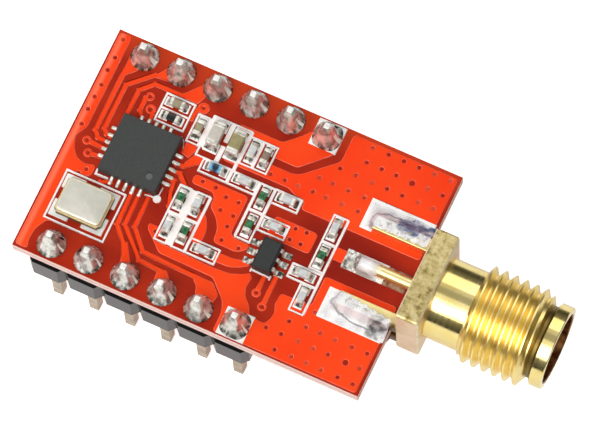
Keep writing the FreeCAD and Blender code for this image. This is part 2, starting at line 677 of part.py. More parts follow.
def make_ground_solder():
    """Hollow fillets of solder along the outer side of each leg, above and below the board."""
    body = new_body("GroundSolder")
    section = sketch_on(body, "YZ_Plane", "GroundSolderSections", "-Sizes.ground_fillet_length")
    board_top = "-Sizes.centre_pin_diameter / 2"
    board_bottom = f"({board_top} - Sizes.board_thickness)"
    leg_side = "(Sizes.leg_gap / 2 + Sizes.leg_width)"
    toe = f"({leg_side} + Sizes.ground_fillet_width)"
    for side in (-1, 1):
        for level, up in ((board_top, 1), (board_bottom, -1)):
            draw_outline(section, [
                (f"{side} * {leg_side}", level),
                (f"{side} * {toe}", level, "Sizes.ground_fillet_radius", -side * up),
                (f"{side} * {leg_side}", f"{level} + {up} * Sizes.ground_fillet_height"),
            ])
    pad(body, section, "Sizes.ground_fillet_length - Sizes.connector_gap", "GroundSolderRuns")
    place(body, FLANGE_BACK, z=CONNECTOR_AXIS)
    return keep(body, "connector_ground_solder")


def make_signal_solder():
    """The solder that ties the centre pin to its pad, higher at the pin than at the pad's sides."""
    contact = doc.getObject("Contact")
    mound = new_body("SignalMound")
    start = "-Sizes.centre_pin_length - Sizes.signal_fillet_overrun"
    section = sketch_on(mound, "YZ_Plane", "SignalMoundSection", start)
    half, rise = "Sizes.signal_fillet_width", "Sizes.signal_fillet_height"
    crown_radius = f"({half} ^ 2 + {rise} ^ 2) / (2 * {rise})"
    draw_outline(section, [(f"-{half}", "0"), (half, "0", crown_radius, 1)])
    pad(mound, section, "Sizes.signal_fillet_length", "SignalMoundRun")
    place(mound, FLANGE_BACK, z=BOARD_TOP)
    solder = doc.addObject("Part::Cut", "SignalSolder")
    solder.Base = mound
    solder.Tool = contact
    doc.recompute()
    return keep(solder, "connector_signal_solder")


def check_document():
    """Stop where an object failed or a finished piece has no sound shape."""
    failed = [item.Name for item in doc.Objects if {"Invalid", "Error"} & set(item.State)]
    if failed:
        raise RuntimeError(f"failed objects: {failed}")
    for piece in subparts:
        if piece.Shape.isNull() or not piece.Shape.isValid() or not piece.Shape.Solids:
            raise RuntimeError(f"{piece.Label} has no sound shape")


def write_parts():
    """One file for each finished piece."""
    os.makedirs("parts", exist_ok=True)
    for piece in subparts:
        piece.Shape.exportStep(os.path.join("parts", f"{piece.Label}.step"))
        print(f"{piece.Label}: {len(piece.Shape.Solids)} solid(s), {piece.Shape.Volume:.3f} mm3")


make_board()
make_headers()
make_transceiver_chip()
make_crystal()
make_antenna_switch()
for component in COMPONENTS:
    make_component(*component)
make_connector_body()
make_insulator()
make_contact()
make_ground_solder()
make_signal_solder()
doc.recompute()
check_document()
write_parts()
print(f"{len(subparts)} pieces written")
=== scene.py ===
# %% [markdown]
# A small radio module in Blender. The real thing is a red circuit board about 24 mm long, with two rows
# of header pins under it, a flat chip, a crystal and some two dozen small components on it, and a gold
# plated coaxial connector soldered over its end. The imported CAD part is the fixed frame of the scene:
# every piece made here sits where the frame says, in metres.

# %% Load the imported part
import json
import math
import random

import bmesh
import bpy
from mathutils import Matrix, Vector, geometry


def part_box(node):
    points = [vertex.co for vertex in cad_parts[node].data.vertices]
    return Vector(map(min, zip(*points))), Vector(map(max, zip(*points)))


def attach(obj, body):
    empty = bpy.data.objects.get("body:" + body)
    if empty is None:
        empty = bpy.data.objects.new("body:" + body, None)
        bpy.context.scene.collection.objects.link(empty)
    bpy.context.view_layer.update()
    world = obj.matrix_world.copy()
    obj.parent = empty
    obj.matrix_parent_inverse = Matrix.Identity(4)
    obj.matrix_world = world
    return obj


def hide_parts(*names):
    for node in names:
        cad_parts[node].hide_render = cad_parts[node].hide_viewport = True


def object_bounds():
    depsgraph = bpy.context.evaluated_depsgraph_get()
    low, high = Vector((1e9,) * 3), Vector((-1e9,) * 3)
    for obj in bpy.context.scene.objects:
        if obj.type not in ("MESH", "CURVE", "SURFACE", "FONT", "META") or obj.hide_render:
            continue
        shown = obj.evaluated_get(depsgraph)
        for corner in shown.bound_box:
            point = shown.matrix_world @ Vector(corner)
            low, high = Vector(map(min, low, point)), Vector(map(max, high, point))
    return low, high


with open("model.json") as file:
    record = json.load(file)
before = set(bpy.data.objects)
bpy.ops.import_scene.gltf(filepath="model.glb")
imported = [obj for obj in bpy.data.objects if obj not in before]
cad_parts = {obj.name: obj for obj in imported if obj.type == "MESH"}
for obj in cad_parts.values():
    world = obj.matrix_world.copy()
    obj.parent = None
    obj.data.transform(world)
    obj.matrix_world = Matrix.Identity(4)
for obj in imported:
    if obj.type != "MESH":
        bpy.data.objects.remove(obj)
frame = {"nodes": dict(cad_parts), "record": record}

CAD_BOX = [list(corner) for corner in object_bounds()]
print("CAD box in metres:", CAD_BOX)

# %% [markdown]
# All drawing below is done in millimetres, because a circuit board is drawn that way, and one number
# turns it into metres. The places that later cells share are read from the frame's own nodes.

# %% Measures that the frame gives
MM = 0.001


def node_box(node):
    """A node's lowest and highest corners in millimetres."""
    low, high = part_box(node)
    return [value / MM for value in low], [value / MM for value in high]


BOARD_LOW, BOARD_HIGH = node_box("circuit_board")
BOARD_TOP = BOARD_HIGH[2]
BOARD_BOTTOM = BOARD_LOW[2]
CONNECTOR_LOW, CONNECTOR_HIGH = node_box("coax_connector_body")
INSULATOR_LOW, INSULATOR_HIGH = node_box("coax_connector_insulator")
CONTACT_LOW = node_box("coax_connector_contact")[0]
FLANGE_BACK = INSULATOR_LOW[0]
AXIS_HEIGHT = (CONNECTOR_LOW[2] + CONNECTOR_HIGH[2]) / 2
print(f"board top at {BOARD_TOP:.2f} mm, flange back at {FLANGE_BACK:.2f} mm, axis at {AXIS_HEIGHT:.2f} mm")

# %% [markdown]
# The camera comes first. A product photograph of something this small is taken from far away with a long
# lens, so the perspective is weak. The angles below are the ones at which the pins, the board's corners
# and the connector fall where the photograph has them.

# %% Camera
AZIMUTH = math.radians(29.402)
ELEVATION = math.radians(71.854)
ROLL = math.radians(-4.597)
CAMERA_DISTANCE = 387.5
CAMERA_TARGET = Vector((3.3, 0.0, 3.54))
CAMERA_SIDESTEP = 3.556
CAMERA_RISE = -0.506
SENSOR_WIDTH = 36.0
FOCAL_LENGTH = 378.83

back = Vector((
    math.sin(AZIMUTH) * math.cos(ELEVATION),
    -math.cos(AZIMUTH) * math.cos(ELEVATION),
    math.sin(ELEVATION),
))
level_right = Vector((math.cos(AZIMUTH), math.sin(AZIMUTH), 0.0))
level_up = back.cross(level_right)
right = level_right * math.cos(ROLL) + level_up * math.sin(ROLL)
up = level_up * math.cos(ROLL) - level_right * math.sin(ROLL)
station = CAMERA_TARGET + right * CAMERA_SIDESTEP + up * CAMERA_RISE + back * CAMERA_DISTANCE

lens = bpy.data.cameras.new("long_lens")
lens.sensor_fit = "HORIZONTAL"
lens.sensor_width = SENSOR_WIDTH
lens.lens = FOCAL_LENGTH
lens.clip_start = 0.01
camera = bpy.data.objects.new("long_lens", lens)
camera.matrix_world = Matrix((
    (right.x, up.x, back.x, station.x * MM),
    (right.y, up.y, back.y, station.y * MM),
    (right.z, up.z, back.z, station.z * MM),
    (0.0, 0.0, 0.0, 1.0),
))
bpy.context.collection.objects.link(camera)
bpy.context.scene.camera = camera
print("camera stands at", [round(value, 1) for value in station], "mm")

# %% [markdown]
# Colours are written as the hex values that one would read off a screen. Blender works in linear light,
# so one function turns them over. A second function adds a node to a material: its lower-case settings
# are the node's own properties, stops are the places and colours of a ramp, the other settings are values
# of its sockets by name or number, and its links say which outputs feed it. A third starts a material
# from what every real surface has: a colour, a metal or not, and a roughness.

# %% Colours, nodes and materials
def linear(colour):
    """A screen colour in linear light."""
    values = [int(colour[start:start + 2], 16) / 255 for start in (1, 3, 5)]
    return tuple(v / 12.92 if v <= 0.04045 else ((v + 0.055) / 1.055) ** 2.4 for v in values) + (1.0,)


def add_node(tree, kind, settings=None, links=None):
    """One node with its settings and the outputs that feed its sockets."""
    node = tree.nodes.new(kind)
    for key, value in (settings or {}).items():
        if key == "stops":
            elements = node.color_ramp.elements
            while len(elements) < len(value):
                elements.new(0.5)
            for element, (position, colour) in zip(elements, value):
                element.position = position
                element.color = linear(colour)
        elif isinstance(key, str) and hasattr(node, key):
            setattr(node, key, value)
        else:
            node.inputs[key].default_value = linear(value) if isinstance(value, str) else value
    for key, output in (links or {}).items():
        tree.links.new(output, node.inputs[key])
    return node


def start_material(name, colour, metallic, roughness, **sockets):
    """A new material: itself, its node tree and its shader."""
    material = bpy.data.materials.new(name)
    material.use_nodes = True
    shader = material.node_tree.nodes["Principled BSDF"]
    shader.inputs["Base Color"].default_value = linear(colour)
    shader.inputs["Metallic"].default_value = metallic
    shader.inputs["Roughness"].default_value = roughness
    for socket, value in sockets.items():
        shader.inputs[socket.replace("_", " ")].default_value = value
    return material, material.node_tree, shader


print("materials can be started")

# %% [markdown]
# Three things are true of nearly every real surface: its colour is a little blotched, its gloss is uneven,
# and it isn't quite flat. Each comes from a noise that is fixed to the piece, with grains of a real size.
# A noise could also be painted as an image, but this one has no seams and follows any shape. Most of the
# finishes below need no more than this, so one function makes such a finish from its numbers.

# %% Noise and blotches
NOISE_LOW, NOISE_HIGH = 0.3, 0.7


def per_mm(size):
    """The scale at which a pattern repeats about once in so many millimetres."""
    return 1 / (size * MM)


def speckle(tree, size, detail=2.0, roughness=0.5, stretch=None):
    """A noise with grains of a size in millimetres, fixed to the piece."""
    place = add_node(tree, "ShaderNodeTexCoord").outputs["Object"]
    if stretch:
        place = add_node(tree, "ShaderNodeMapping", {"Scale": stretch}, {"Vector": place}).outputs["Vector"]
    settings = {"Scale": per_mm(size), "Detail": detail, "Roughness": roughness}
    return add_node(tree, "ShaderNodeTexNoise", settings, {"Vector": place}).outputs["Fac"]


def mottled(tree, size, stops, detail=2.0, roughness=0.5):
    """A colour in blotches of a size in millimetres."""
    blotches = speckle(tree, size, detail, roughness)
    return add_node(tree, "ShaderNodeValToRGB", {"stops": stops}, {"Fac": blotches}).outputs["Color"]


print("surfaces can be blotched")

# %% Gloss, bumps and plain finishes
def uneven_gloss(tree, shader, size, low, high, detail=3.0, stretch=None):
    """A roughness between two limits, in patches of a size in millimetres."""
    gloss = add_node(
        tree, "ShaderNodeMapRange",
        {"From Min": NOISE_LOW, "From Max": NOISE_HIGH, "To Min": low, "To Max": high},
        {"Value": speckle(tree, size, detail, stretch=stretch)},
    )
    tree.links.new(gloss.outputs["Result"], shader.inputs["Roughness"])


def roughen(tree, shader, size, depth, strength=1.0, detail=2.0, stretch=None):
    """Bumps of a size and a depth in millimetres."""
    bump = add_node(
        tree, "ShaderNodeBump", {"Strength": strength, "Distance": depth * MM},
        {"Height": speckle(tree, size, detail, stretch=stretch)},
    )
    tree.links.new(bump.outputs["Normal"], shader.inputs["Normal"])


def plain_finish(name, metallic, roughness, size, stops, detail=2.0, bumps=None, **sockets):
    """A material of one mottled colour, with bumps as roughen wants them where there are any."""
    material, tree, shader = start_material(name, stops[-1][1], metallic, roughness, **sockets)
    tree.links.new(mottled(tree, size, stops, detail), shader.inputs["Base Color"])
    if bumps:
        roughen(tree, shader, *bumps)
    return material


print("surfaces can be dulled and roughened")

# %% [markdown]
# Some marks sit at one place on the board, such as a stain or a thin spot. A patch is one inside an
# ellipsoid and nought outside it, measured from the piece's own coordinates, so it stays where it is from
# every side. A wobble makes its outline ragged. Another helper tells level faces from upright ones, for
# the CAD nodes that have a single material and two finishes.

# %% Stains, and level and upright faces
def patch_of(tree, centre, reach, softness=0.3, wobble=0.0):
    """One inside a patch and nought outside it; its centre and its reach each way are in millimetres."""
    place = add_node(tree, "ShaderNodeTexCoord").outputs["Object"]
    middle = tuple(value * MM for value in centre)
    size = tuple(value * MM for value in reach)
    offset = add_node(tree, "ShaderNodeVectorMath", {"operation": "SUBTRACT", 1: middle}, {0: place})
    offset = offset.outputs["Vector"]
    scaled = add_node(tree, "ShaderNodeVectorMath", {"operation": "DIVIDE", 1: size}, {0: offset})
    scaled = scaled.outputs["Vector"]
    away = add_node(tree, "ShaderNodeVectorMath", {"operation": "LENGTH"}, {0: scaled}).outputs["Value"]
    if wobble:
        shake = add_node(
            tree, "ShaderNodeMapRange",
            {"From Min": NOISE_LOW, "From Max": NOISE_HIGH, "To Min": -wobble, "To Max": wobble},
            {"Value": speckle(tree, 0.6, 3.0)},
        ).outputs["Result"]
        away = add_node(tree, "ShaderNodeMath", {"operation": "ADD"}, {0: away, 1: shake}).outputs["Value"]
    fading = {"From Min": 1.0 - softness, "From Max": 1.0, "To Min": 1.0, "To Max": 0.0}
    return add_node(tree, "ShaderNodeMapRange", fading, {"Value": away}).outputs["Result"]


def stained(tree, tone, stain, centre, reach, softness=0.3, wobble=0.0):
    """A tone with a stain laid over it in one patch; the stain is a hex colour or an output."""
    settings = {"data_type": "RGBA"}
    links = {"Factor": patch_of(tree, centre, reach, softness, wobble), 6: tone}
    if isinstance(stain, str):
        settings[7] = stain
    else:
        links[7] = stain
    return add_node(tree, "ShaderNodeMix", settings, links).outputs[2]


def facing_up(tree):
    """One on faces that look up or down, and nought on upright ones."""
    direction = add_node(tree, "ShaderNodeNewGeometry").outputs["Normal"]
    upward = add_node(tree, "ShaderNodeSeparateXYZ", links={"Vector": direction}).outputs["Z"]
    steep = add_node(tree, "ShaderNodeMath", {"operation": "ABSOLUTE"}, {0: upward}).outputs["Value"]
    level = add_node(tree, "ShaderNodeMath", {"operation": "GREATER_THAN", 1: 0.5}, {0: steep})
    return level.outputs["Value"]


print("stains can be laid")

# %% [markdown]
# The board is glass-filled epoxy laminate under a red solder mask. The mask is a thin, glossy, slightly
# uneven lacquer, and its colour depends on what lies under it. Over bare laminate it is deep red, a
# little lighter along the rear edge, where a pool of light is painted, and darker round the connector's
# centre pin. The board is a CAD node with one material, which looks at its surface's direction: faces
# that look up or down are masked, and the cut edges show the pale laminate with its layers of glass
# cloth. Blender's wave repeats 3.2 times in the size that it is given, so 1.6 mm draws a layer each half
# millimetre, coarser than real cloth, so that it shows.

# %% Mask on bare laminate
MASK_GLOSS = 0.3
MASK_SHEEN = 0.16
CUT_EDGE_ROUGHNESS = 0.75
board_mask, tree, shader = start_material(
    "red_mask_on_laminate", "#A52210", 0.0, MASK_GLOSS, Specular_IOR_Level=MASK_SHEEN,
)
mask_tone = mottled(tree, 3.0, [(0.3, "#991B03"), (0.7, "#B12909")])
# The lighter band along the rear edge is a painted pool of light.
mask_tone = stained(tree, mask_tone, "#CB3C10", (0.0, 8.2, BOARD_TOP), (30.0, 2.2, 3.0), 0.8)
mask_tone = stained(tree, mask_tone, "#8C1703", (10.5, 0.0, BOARD_TOP), (5.0, 2.6, 3.0), 0.5)
plies = add_node(
    tree, "ShaderNodeTexWave",
    {"wave_type": "BANDS", "bands_direction": "Z", "Scale": per_mm(1.6), "Distortion": 1.0,
     "Detail": 2.0, "Detail Scale": 2.0},
    {"Vector": add_node(tree, "ShaderNodeTexCoord").outputs["Object"]},
).outputs["Fac"]
edge_tone = add_node(
    tree, "ShaderNodeValToRGB", {"stops": [(0.1, "#EABFB5"), (0.5, "#F8DCD4")]}, {"Fac": plies},
).outputs["Color"]
masked = facing_up(tree)
tone = add_node(tree, "ShaderNodeMix", {"data_type": "RGBA"}, {"Factor": masked, 6: edge_tone, 7: mask_tone})
gloss = add_node(
    tree, "ShaderNodeMapRange", {"To Min": CUT_EDGE_ROUGHNESS, "To Max": MASK_GLOSS}, {"Value": masked},
)
tree.links.new(tone.outputs[2], shader.inputs["Base Color"])
tree.links.new(gloss.outputs["Result"], shader.inputs["Roughness"])
roughen(tree, shader, 0.6, 0.01)
print("mask on laminate:", board_mask.name)

# %% [markdown]
# Over bright copper the same mask glows orange-red, and one band by the board's left edge is lighter,
# a painted sheen. On the sloped shoulder of a copper edge it thins and turns pinkish, and is paler still,
# partly from the thinner mask and partly as a painted highlight. It sinks into each plated hole, darker in
# some than in others.

# %% Mask on copper
copper_mask, tree, shader = start_material(
    "red_mask_on_copper", "#FB4312", 0.0, MASK_GLOSS, Specular_IOR_Level=MASK_SHEEN,
)
mask_tone = mottled(tree, 5.0, [(0.3, "#F83C0C"), (0.7, "#FF4A16")])
# The lighter band by the left edge is a painted sheen.
left_edge_sheen = (BOARD_LOW[0] + 0.36, 0.0, BOARD_TOP)
mask_tone = stained(tree, mask_tone, "#FF7A58", left_edge_sheen, (0.26, 30.0, 3.0), 0.95)
tree.links.new(mask_tone, shader.inputs["Base Color"])
roughen(tree, shader, 0.5, 0.006)

sunk_mask = plain_finish(
    "red_mask_sunk_in_plated_hole", 0.0, MASK_GLOSS, 1.1, [(0.42, "#A01C08"), (0.62, "#D94A2E")],
    Specular_IOR_Level=MASK_SHEEN,
)
# The shoulder is paler partly because the mask thins there and partly as a painted highlight.
shoulder_mask_and_highlight = plain_finish(
    "red_mask_on_copper_shoulder_and_painted_highlight", 0.0, MASK_GLOSS, 0.8, [(0.3, "#F25A42"), (0.7, "#FF7A60")],
)
print("mask on copper:", copper_mask.name, sunk_mask.name, shoulder_mask_and_highlight.name)

# %% [markdown]
# The white legend is epoxy ink, screened on: matt, a little uneven, faintly pink where the red below
# shines through. The pads are copper under a skin of tin that hot air has levelled, so they mirror
# softly and are blotched. Under the centre pin the tin is painted dark brown as the pin's shade.

# %% Ink and tin
ink = plain_finish(
    "white_legend_ink", 0.0, 0.7, 0.35, [(0.2, "#FBDAD2"), (0.45, "#FFFAF8")], 3.0, (0.12, 0.006),
)
tin, tree, shader = start_material("hot_air_levelled_tin", "#F4F4F0", 0.25, 0.55)
tin_tone = mottled(tree, 0.9, [(0.25, "#DEDCD8"), (0.4, "#F5F5F1"), (0.6, "#FFFFFE")], 3.0)
tree.links.new(tin_tone, shader.inputs["Base Color"])
uneven_gloss(tree, shader, 0.5, 0.42, 0.7)
roughen(tree, shader, 0.6, 0.04, 0.6)

# This tin's dark brown is the centre pin's painted shade.
tin_with_painted_shade = plain_finish(
    "tin_painted_dark_under_centre_pin", 0.7, 0.4, 0.5, [(0.35, "#7E4E40"), (0.65, "#BFA090")], 3.0,
)
print("ink and tin:", ink.name, tin.name, tin_with_painted_shade.name)

# %% [markdown]
# The solder on the connector has wetted gold, and has frozen pale and satiny with grey veins. A blue-grey
# crescent beside the rear leg is a painted reflection of the dark horizon, the skin is darker in the corner
# by the flange beside the front leg, a grey line runs round the tip of each leg, and gold shows through
# in flecks where the skin is thin. These marks are laid on one finish one after the other, because the
# solder is a single skin.

# %% Solder that has wetted gold
LEG_TIP = 13.3
wetted_solder, tree, shader = start_material(
    "solder_wetted_over_gold", "#F2F2F0", 0.12, 0.4, Specular_IOR_Level=0.3,
)
veins = add_node(
    tree, "ShaderNodeTexWave",
    {"wave_type": "RINGS", "rings_direction": "Z", "Scale": per_mm(3.4), "Distortion": 9.0, "Detail": 3.0,
     "Detail Scale": 0.5 * per_mm(1.0)},
    {"Vector": add_node(tree, "ShaderNodeTexCoord").outputs["Object"]},
).outputs["Fac"]
vein_stops = [(0.04, "#A3A1AE"), (0.14, "#EAEAEC"), (0.3, "#FFFFFE")]
tone = add_node(tree, "ShaderNodeValToRGB", {"stops": vein_stops}, {"Fac": veins}).outputs["Color"]
# The blue-grey crescent is a painted reflection of the dark horizon behind the module.
painted_dark_reflection = mottled(tree, 0.4, [(0.36, "#42507A"), (0.5, "#737DA0"), (0.62, "#C0BECE")], 4.0, 0.6)
tone = stained(tree, tone, painted_dark_reflection, (14.05, 3.42, BOARD_TOP), (1.5, 0.9, 2.4), 0.4, 0.4)
for side, line_tone in ((-1, "#87858A"), (1, "#8C8A9C")):
    leg_tip = (LEG_TIP, 2.85 * side, BOARD_TOP)
    outside = patch_of(tree, leg_tip, (2.3, 0.95, 9.0), 0.08, 0.09)
    inside = patch_of(tree, leg_tip, (2.2, 0.85, 9.0), 0.1, 0.09)
    line = add_node(tree, "ShaderNodeMath", {"operation": "SUBTRACT"}, {0: outside, 1: inside})
    links = {"Factor": line.outputs["Value"], 6: tone}
    tone = add_node(tree, "ShaderNodeMix", {"data_type": "RGBA", 7: line_tone}, links).outputs[2]
thin_places = add_node(
    tree, "ShaderNodeMapRange", {"From Min": 0.5, "From Max": 0.62, "To Max": 0.75},
    {"Value": speckle(tree, 0.3, 4.0, 0.7)},
).outputs["Result"]
for side in (-1, 1):
    on_leg = patch_of(tree, (13.5, 2.68 * side, BOARD_TOP + 0.9), (2.1, 0.5, 0.4), 0.3, 0.2)
    flecks = add_node(tree, "ShaderNodeMath", {"operation": "MULTIPLY"}, {0: on_leg, 1: thin_places})
    links = {"Factor": flecks.outputs["Value"], 6: tone}
    tone = add_node(tree, "ShaderNodeMix", {"data_type": "RGBA", 7: "#9A9270"}, links).outputs[2]
dark_grey = mottled(tree, 0.4, [(0.35, "#4C4C50"), (0.65, "#B8B6B4")], 3.0)
for stain, centre, reach, softness, wobble in (
    ("#F3E2A2", (13.45, 0.0, BOARD_TOP + 0.6), (0.95, 0.7, 1.0), 0.9, 0.0),
    ("#A59D97", (12.1, -0.62, BOARD_TOP), (1.2, 0.34, 0.5), 0.5, 0.2),
    (dark_grey, (14.6, -3.45, BOARD_TOP), (0.85, 0.85, 2.0), 0.6, 0.5),
):
    tone = stained(tree, tone, stain, centre, reach, softness, wobble)
tree.links.new(tone, shader.inputs["Base Color"])
uneven_gloss(tree, shader, 0.5, 0.32, 0.55)
roughen(tree, shader, 0.5, 0.05, 0.7)
print("solder over gold:", len(tree.nodes), "nodes")

# %% [markdown]
# The joints of the header pins are bright tin solder, cooled fast: mirror-like above, streaked with dark
# flux low on the cone. Three more finishes go on parts of a joint: the tinned tip of the pin, a narrow
# painted glint, and a blowhole, which looks black because no light comes back out of it.

# %% Solder on the header's joints
FOOT_LOW, FOOT_HIGH = BOARD_TOP + 0.15, BOARD_TOP + 0.75
solder, tree, shader = start_material("cooled_tin_solder", "#C9C6BE", 0.55, 0.2)
tone = mottled(tree, 0.6, [(0.36, "#9A978E"), (0.5, "#DCDAD1"), (0.62, "#F1F0EA")], 3.0)
place = add_node(tree, "ShaderNodeTexCoord").outputs["Object"]
height = add_node(tree, "ShaderNodeSeparateXYZ", links={"Vector": place}).outputs["Z"]
foot = add_node(
    tree, "ShaderNodeMapRange",
    {"From Min": FOOT_LOW * MM, "From Max": FOOT_HIGH * MM, "To Min": 1.0, "To Max": 0.0}, {"Value": height},
).outputs["Result"]
streaks = add_node(
    tree, "ShaderNodeMapRange", {"From Min": 0.42, "From Max": 0.58},
    {"Value": speckle(tree, 0.24, stretch=(1.0, 1.0, 0.3))},
).outputs["Result"]
flux = add_node(tree, "ShaderNodeMath", {"operation": "MULTIPLY"}, {0: foot, 1: streaks}).outputs["Value"]
tone = add_node(tree, "ShaderNodeMix", {"data_type": "RGBA", 7: "#4C4F47"}, {"Factor": flux, 6: tone})
tree.links.new(tone.outputs[2], shader.inputs["Base Color"])
uneven_gloss(tree, shader, 0.9, 0.12, 0.32, 1.0)
roughen(tree, shader, 0.7, 0.05, 0.5, 0.0)

cut_tip = plain_finish("tinned_pin_tip", 0.4, 0.5, 0.3, [(0.3, "#E8E6DE"), (0.6, "#FEFEFC")])
# A painted glint: a narrow pale streak that stands in for a low light on the connector's side.
painted_glint = plain_finish("painted_glint_on_solder", 0.0, 0.3, 0.3, [(0.3, "#F2EFE2"), (0.6, "#FFFEF6")])
blowhole, tree, shader = start_material("blowhole_in_solder", "#0C0A09", 0.0, 0.8, Specular_IOR_Level=0.1)
roughen(tree, shader, 0.2, 0.02)
print("solder on the joints:", solder.name, cut_tip.name, painted_glint.name, blowhole.name)

# %% [markdown]
# The header strips are moulded black PBT. Their broken edges are glossy enough to pick up the white
# table, but low down they would mirror only the shadow under the board, so their gloss is turned down
# there as painted shade; on the level faces it is turned down as painted shade too, and they are duller.
# The pins are brass with a thin gold flash, drawn lengthwise and paler than the connector's plating.

# %% Header plastic and pins
header_plastic, tree, shader = start_material(
    "moulded_black_pbt", "#0C0C0D", 0.0, 0.2, Specular_IOR_Level=0.4,
)
level_face = facing_up(tree)
gloss = add_node(tree, "ShaderNodeMapRange", {"To Min": 0.2, "To Max": 0.6}, {"Value": level_face})
tree.links.new(gloss.outputs["Result"], shader.inputs["Roughness"])
place = add_node(tree, "ShaderNodeTexCoord").outputs["Object"]
height = add_node(tree, "ShaderNodeSeparateXYZ", links={"Vector": place}).outputs["Z"]
# Low on the strips and on their level faces the gloss is turned down: painted shade of the board.
shine = add_node(
    tree, "ShaderNodeMapRange",
    {"From Min": 0.14 * MM, "From Max": 0.34 * MM, "To Min": 0.08, "To Max": 0.42}, {"Value": height},
).outputs["Result"]
shine = add_node(tree, "ShaderNodeMix", {"data_type": "FLOAT", 3: 0.08}, {"Factor": level_face, 2: shine})
tree.links.new(shine.outputs[0], shader.inputs["Specular IOR Level"])
roughen(tree, shader, 0.5, 0.006, 0.4)

pin_metal = plain_finish(
    "gold_flashed_pin_brass", 1.0, 0.34, 0.7, [(0.3, "#A8987F"), (0.7, "#D0C2AC")],
    bumps=(0.2, 0.01, 0.5, 2.0, (1.0, 1.0, 0.15)),
)
print("header:", header_plastic.name, pin_metal.name)

# %% [markdown]
# The two integrated circuits are black epoxy moulding compound, which is full of silica grains of about
# 0.05 mm and looks dark grey. The mould's ejector leaves a round polished mark near one corner of the
# larger chip, a little paler than the rest.

# %% Moulding compound
def moulding_compound(name, dark, light, mark=None):
    """Epoxy moulding compound, paler in the round mark given by its centre and radius."""
    material, tree, shader = start_material(name, light, 0.0, 0.55)
    grains = mottled(tree, 0.07, [(0.3, dark), (0.7, light)])
    if mark:
        grains = stained(tree, grains, "#5A5E5C", mark[:3], [mark[3]] * 3)
    tree.links.new(grains, shader.inputs["Base Color"])
    roughen(tree, shader, 0.05, 0.008, 0.6)
    return material


CHIP_LOW, CHIP_HIGH = node_box("transceiver_chip_body")
chip_mark = (CHIP_HIGH[0] - 0.8, CHIP_LOW[1] + 0.8, CHIP_HIGH[2] - 0.05, 0.26)
moulding = moulding_compound("epoxy_moulding_compound", "#2E3130", "#3B3E3D", chip_mark)
switch_moulding = moulding_compound("fine_epoxy_moulding_compound", "#1E2122", "#2B2E2F")
print("moulding compounds:", moulding.name, switch_moulding.name)

# %% [markdown]
# The small components are sintered ceramic with tinned ends. Capacitors are a plain tan, grey or nearly
# white body, inductors have a green or blue glaze, and the resistor a black one. Each is a mottling of two
# tones of the same ceramic, so a table holds the tones. The blue glaze is nearly black in its middle.

# %% Ceramics
CERAMIC_TONES = {
    "white": ("fired_white_ceramic", "#BFC3C4", "#DADDDD", 0.4),
    "grey": ("fired_grey_ceramic", "#BEB8AE", "#CFC9BF", 0.4),
    "olive": ("fired_olive_ceramic", "#8F8558", "#A2986C", 0.4),
    "tan": ("fired_tan_ceramic", "#8F8468", "#A89C80", 0.4),
    "brown": ("fired_brown_ceramic", "#77695A", "#94826C", 0.4),
    "green": ("glazed_green_ceramic", "#10331F", "#3F8A58", 0.25),
    "blue": ("glazed_blue_ceramic", "#4FA6D2", "#8FCBE8", 0.2),
    "black": ("glazed_black_ceramic", "#101112", "#1D1E20", 0.25),
}
CERAMICS = {
    body: plain_finish(name, 0.0, gloss, 0.25, [(0.3, dark), (0.7, light)], 3.0, (0.06, 0.004, 0.5))
    for body, (name, dark, light, gloss) in CERAMIC_TONES.items()
}
low, high = node_box("inductor_1")
middle = [(a + b) / 2 for a, b in zip(low, high)]
tree = CERAMICS["blue"].node_tree
glaze = tree.nodes["Principled BSDF"].inputs["Base Color"]
dark_middle = stained(tree, glaze.links[0].from_socket, "#0E2C46", middle, (0.3, 0.5, 1.0), 0.5, 0.2)
tree.links.new(dark_middle, glaze)

end_metal = plain_finish(
    "matte_tin_end", 0.75, 0.45, 0.35, [(0.3, "#A9A598"), (0.5, "#E6E4DA"), (0.66, "#FBFAF4")], 3.0,
    (0.2, 0.01, 0.5),
)
print(len(CERAMICS), "ceramics and", end_metal.name)

# %% [markdown]
# The crystal's package is dark brown alumina with a gold plated seal ring on top, and a stamped lid of
# nickel plated iron alloy: satin in the middle, smoother on its rounded edge, whose paler cream is a
# painted highlight. The base is a CAD node with one material, so that looks at the surface's direction
# again: up is the seal ring, the rest is ceramic.

# %% Crystal's package
package, tree, shader = start_material("alumina_with_gold_seal_ring", "#5A4A38", 0.0, 0.5)
ring = facing_up(tree)
alumina = mottled(tree, 0.2, [(0.3, "#4A3C2C"), (0.7, "#6B5944")])
tone = add_node(tree, "ShaderNodeMix", {"data_type": "RGBA", 7: "#DCCB98"}, {"Factor": ring, 6: alumina})
tree.links.new(tone.outputs[2], shader.inputs["Base Color"])
tree.links.new(ring, shader.inputs["Metallic"])

lid_top = plain_finish(
    "satin_nickel_lid", 0.7, 0.6, 0.4, [(0.3, "#D6D4C9"), (0.7, "#DEDCD2")], 3.0, (0.08, 0.01, 0.6, 3.0),
)
# The edge's paler cream is a painted highlight.
lid_edge_with_highlight = plain_finish("drawn_nickel_rim_with_painted_highlight", 0.7, 0.5, 0.3, [(0.3, "#E6DFC0"), (0.7, "#F6F2E0")])
print("crystal:", package.name, lid_top.name, lid_edge_with_highlight.name)

# %% [markdown]
# The connector is turned brass under hard gold. Its barrel is bright, with fine turning marks that run
# round it: here the marks are 0.12 mm apart, coarser than real ones, so that they still show. The
# flange's narrow sides are milled and tumbled, so they are rougher and blotched with darker patches, and
# its broken edges are brighter, a painted highlight. The thread's rolled flanks are softer than the
# barrel, the groove and the mouth behind the thread are painted dark and brown as shade, and the front
# legs by the board's end carry a brown painted shade. The insulator is turned PTFE, white and waxy.

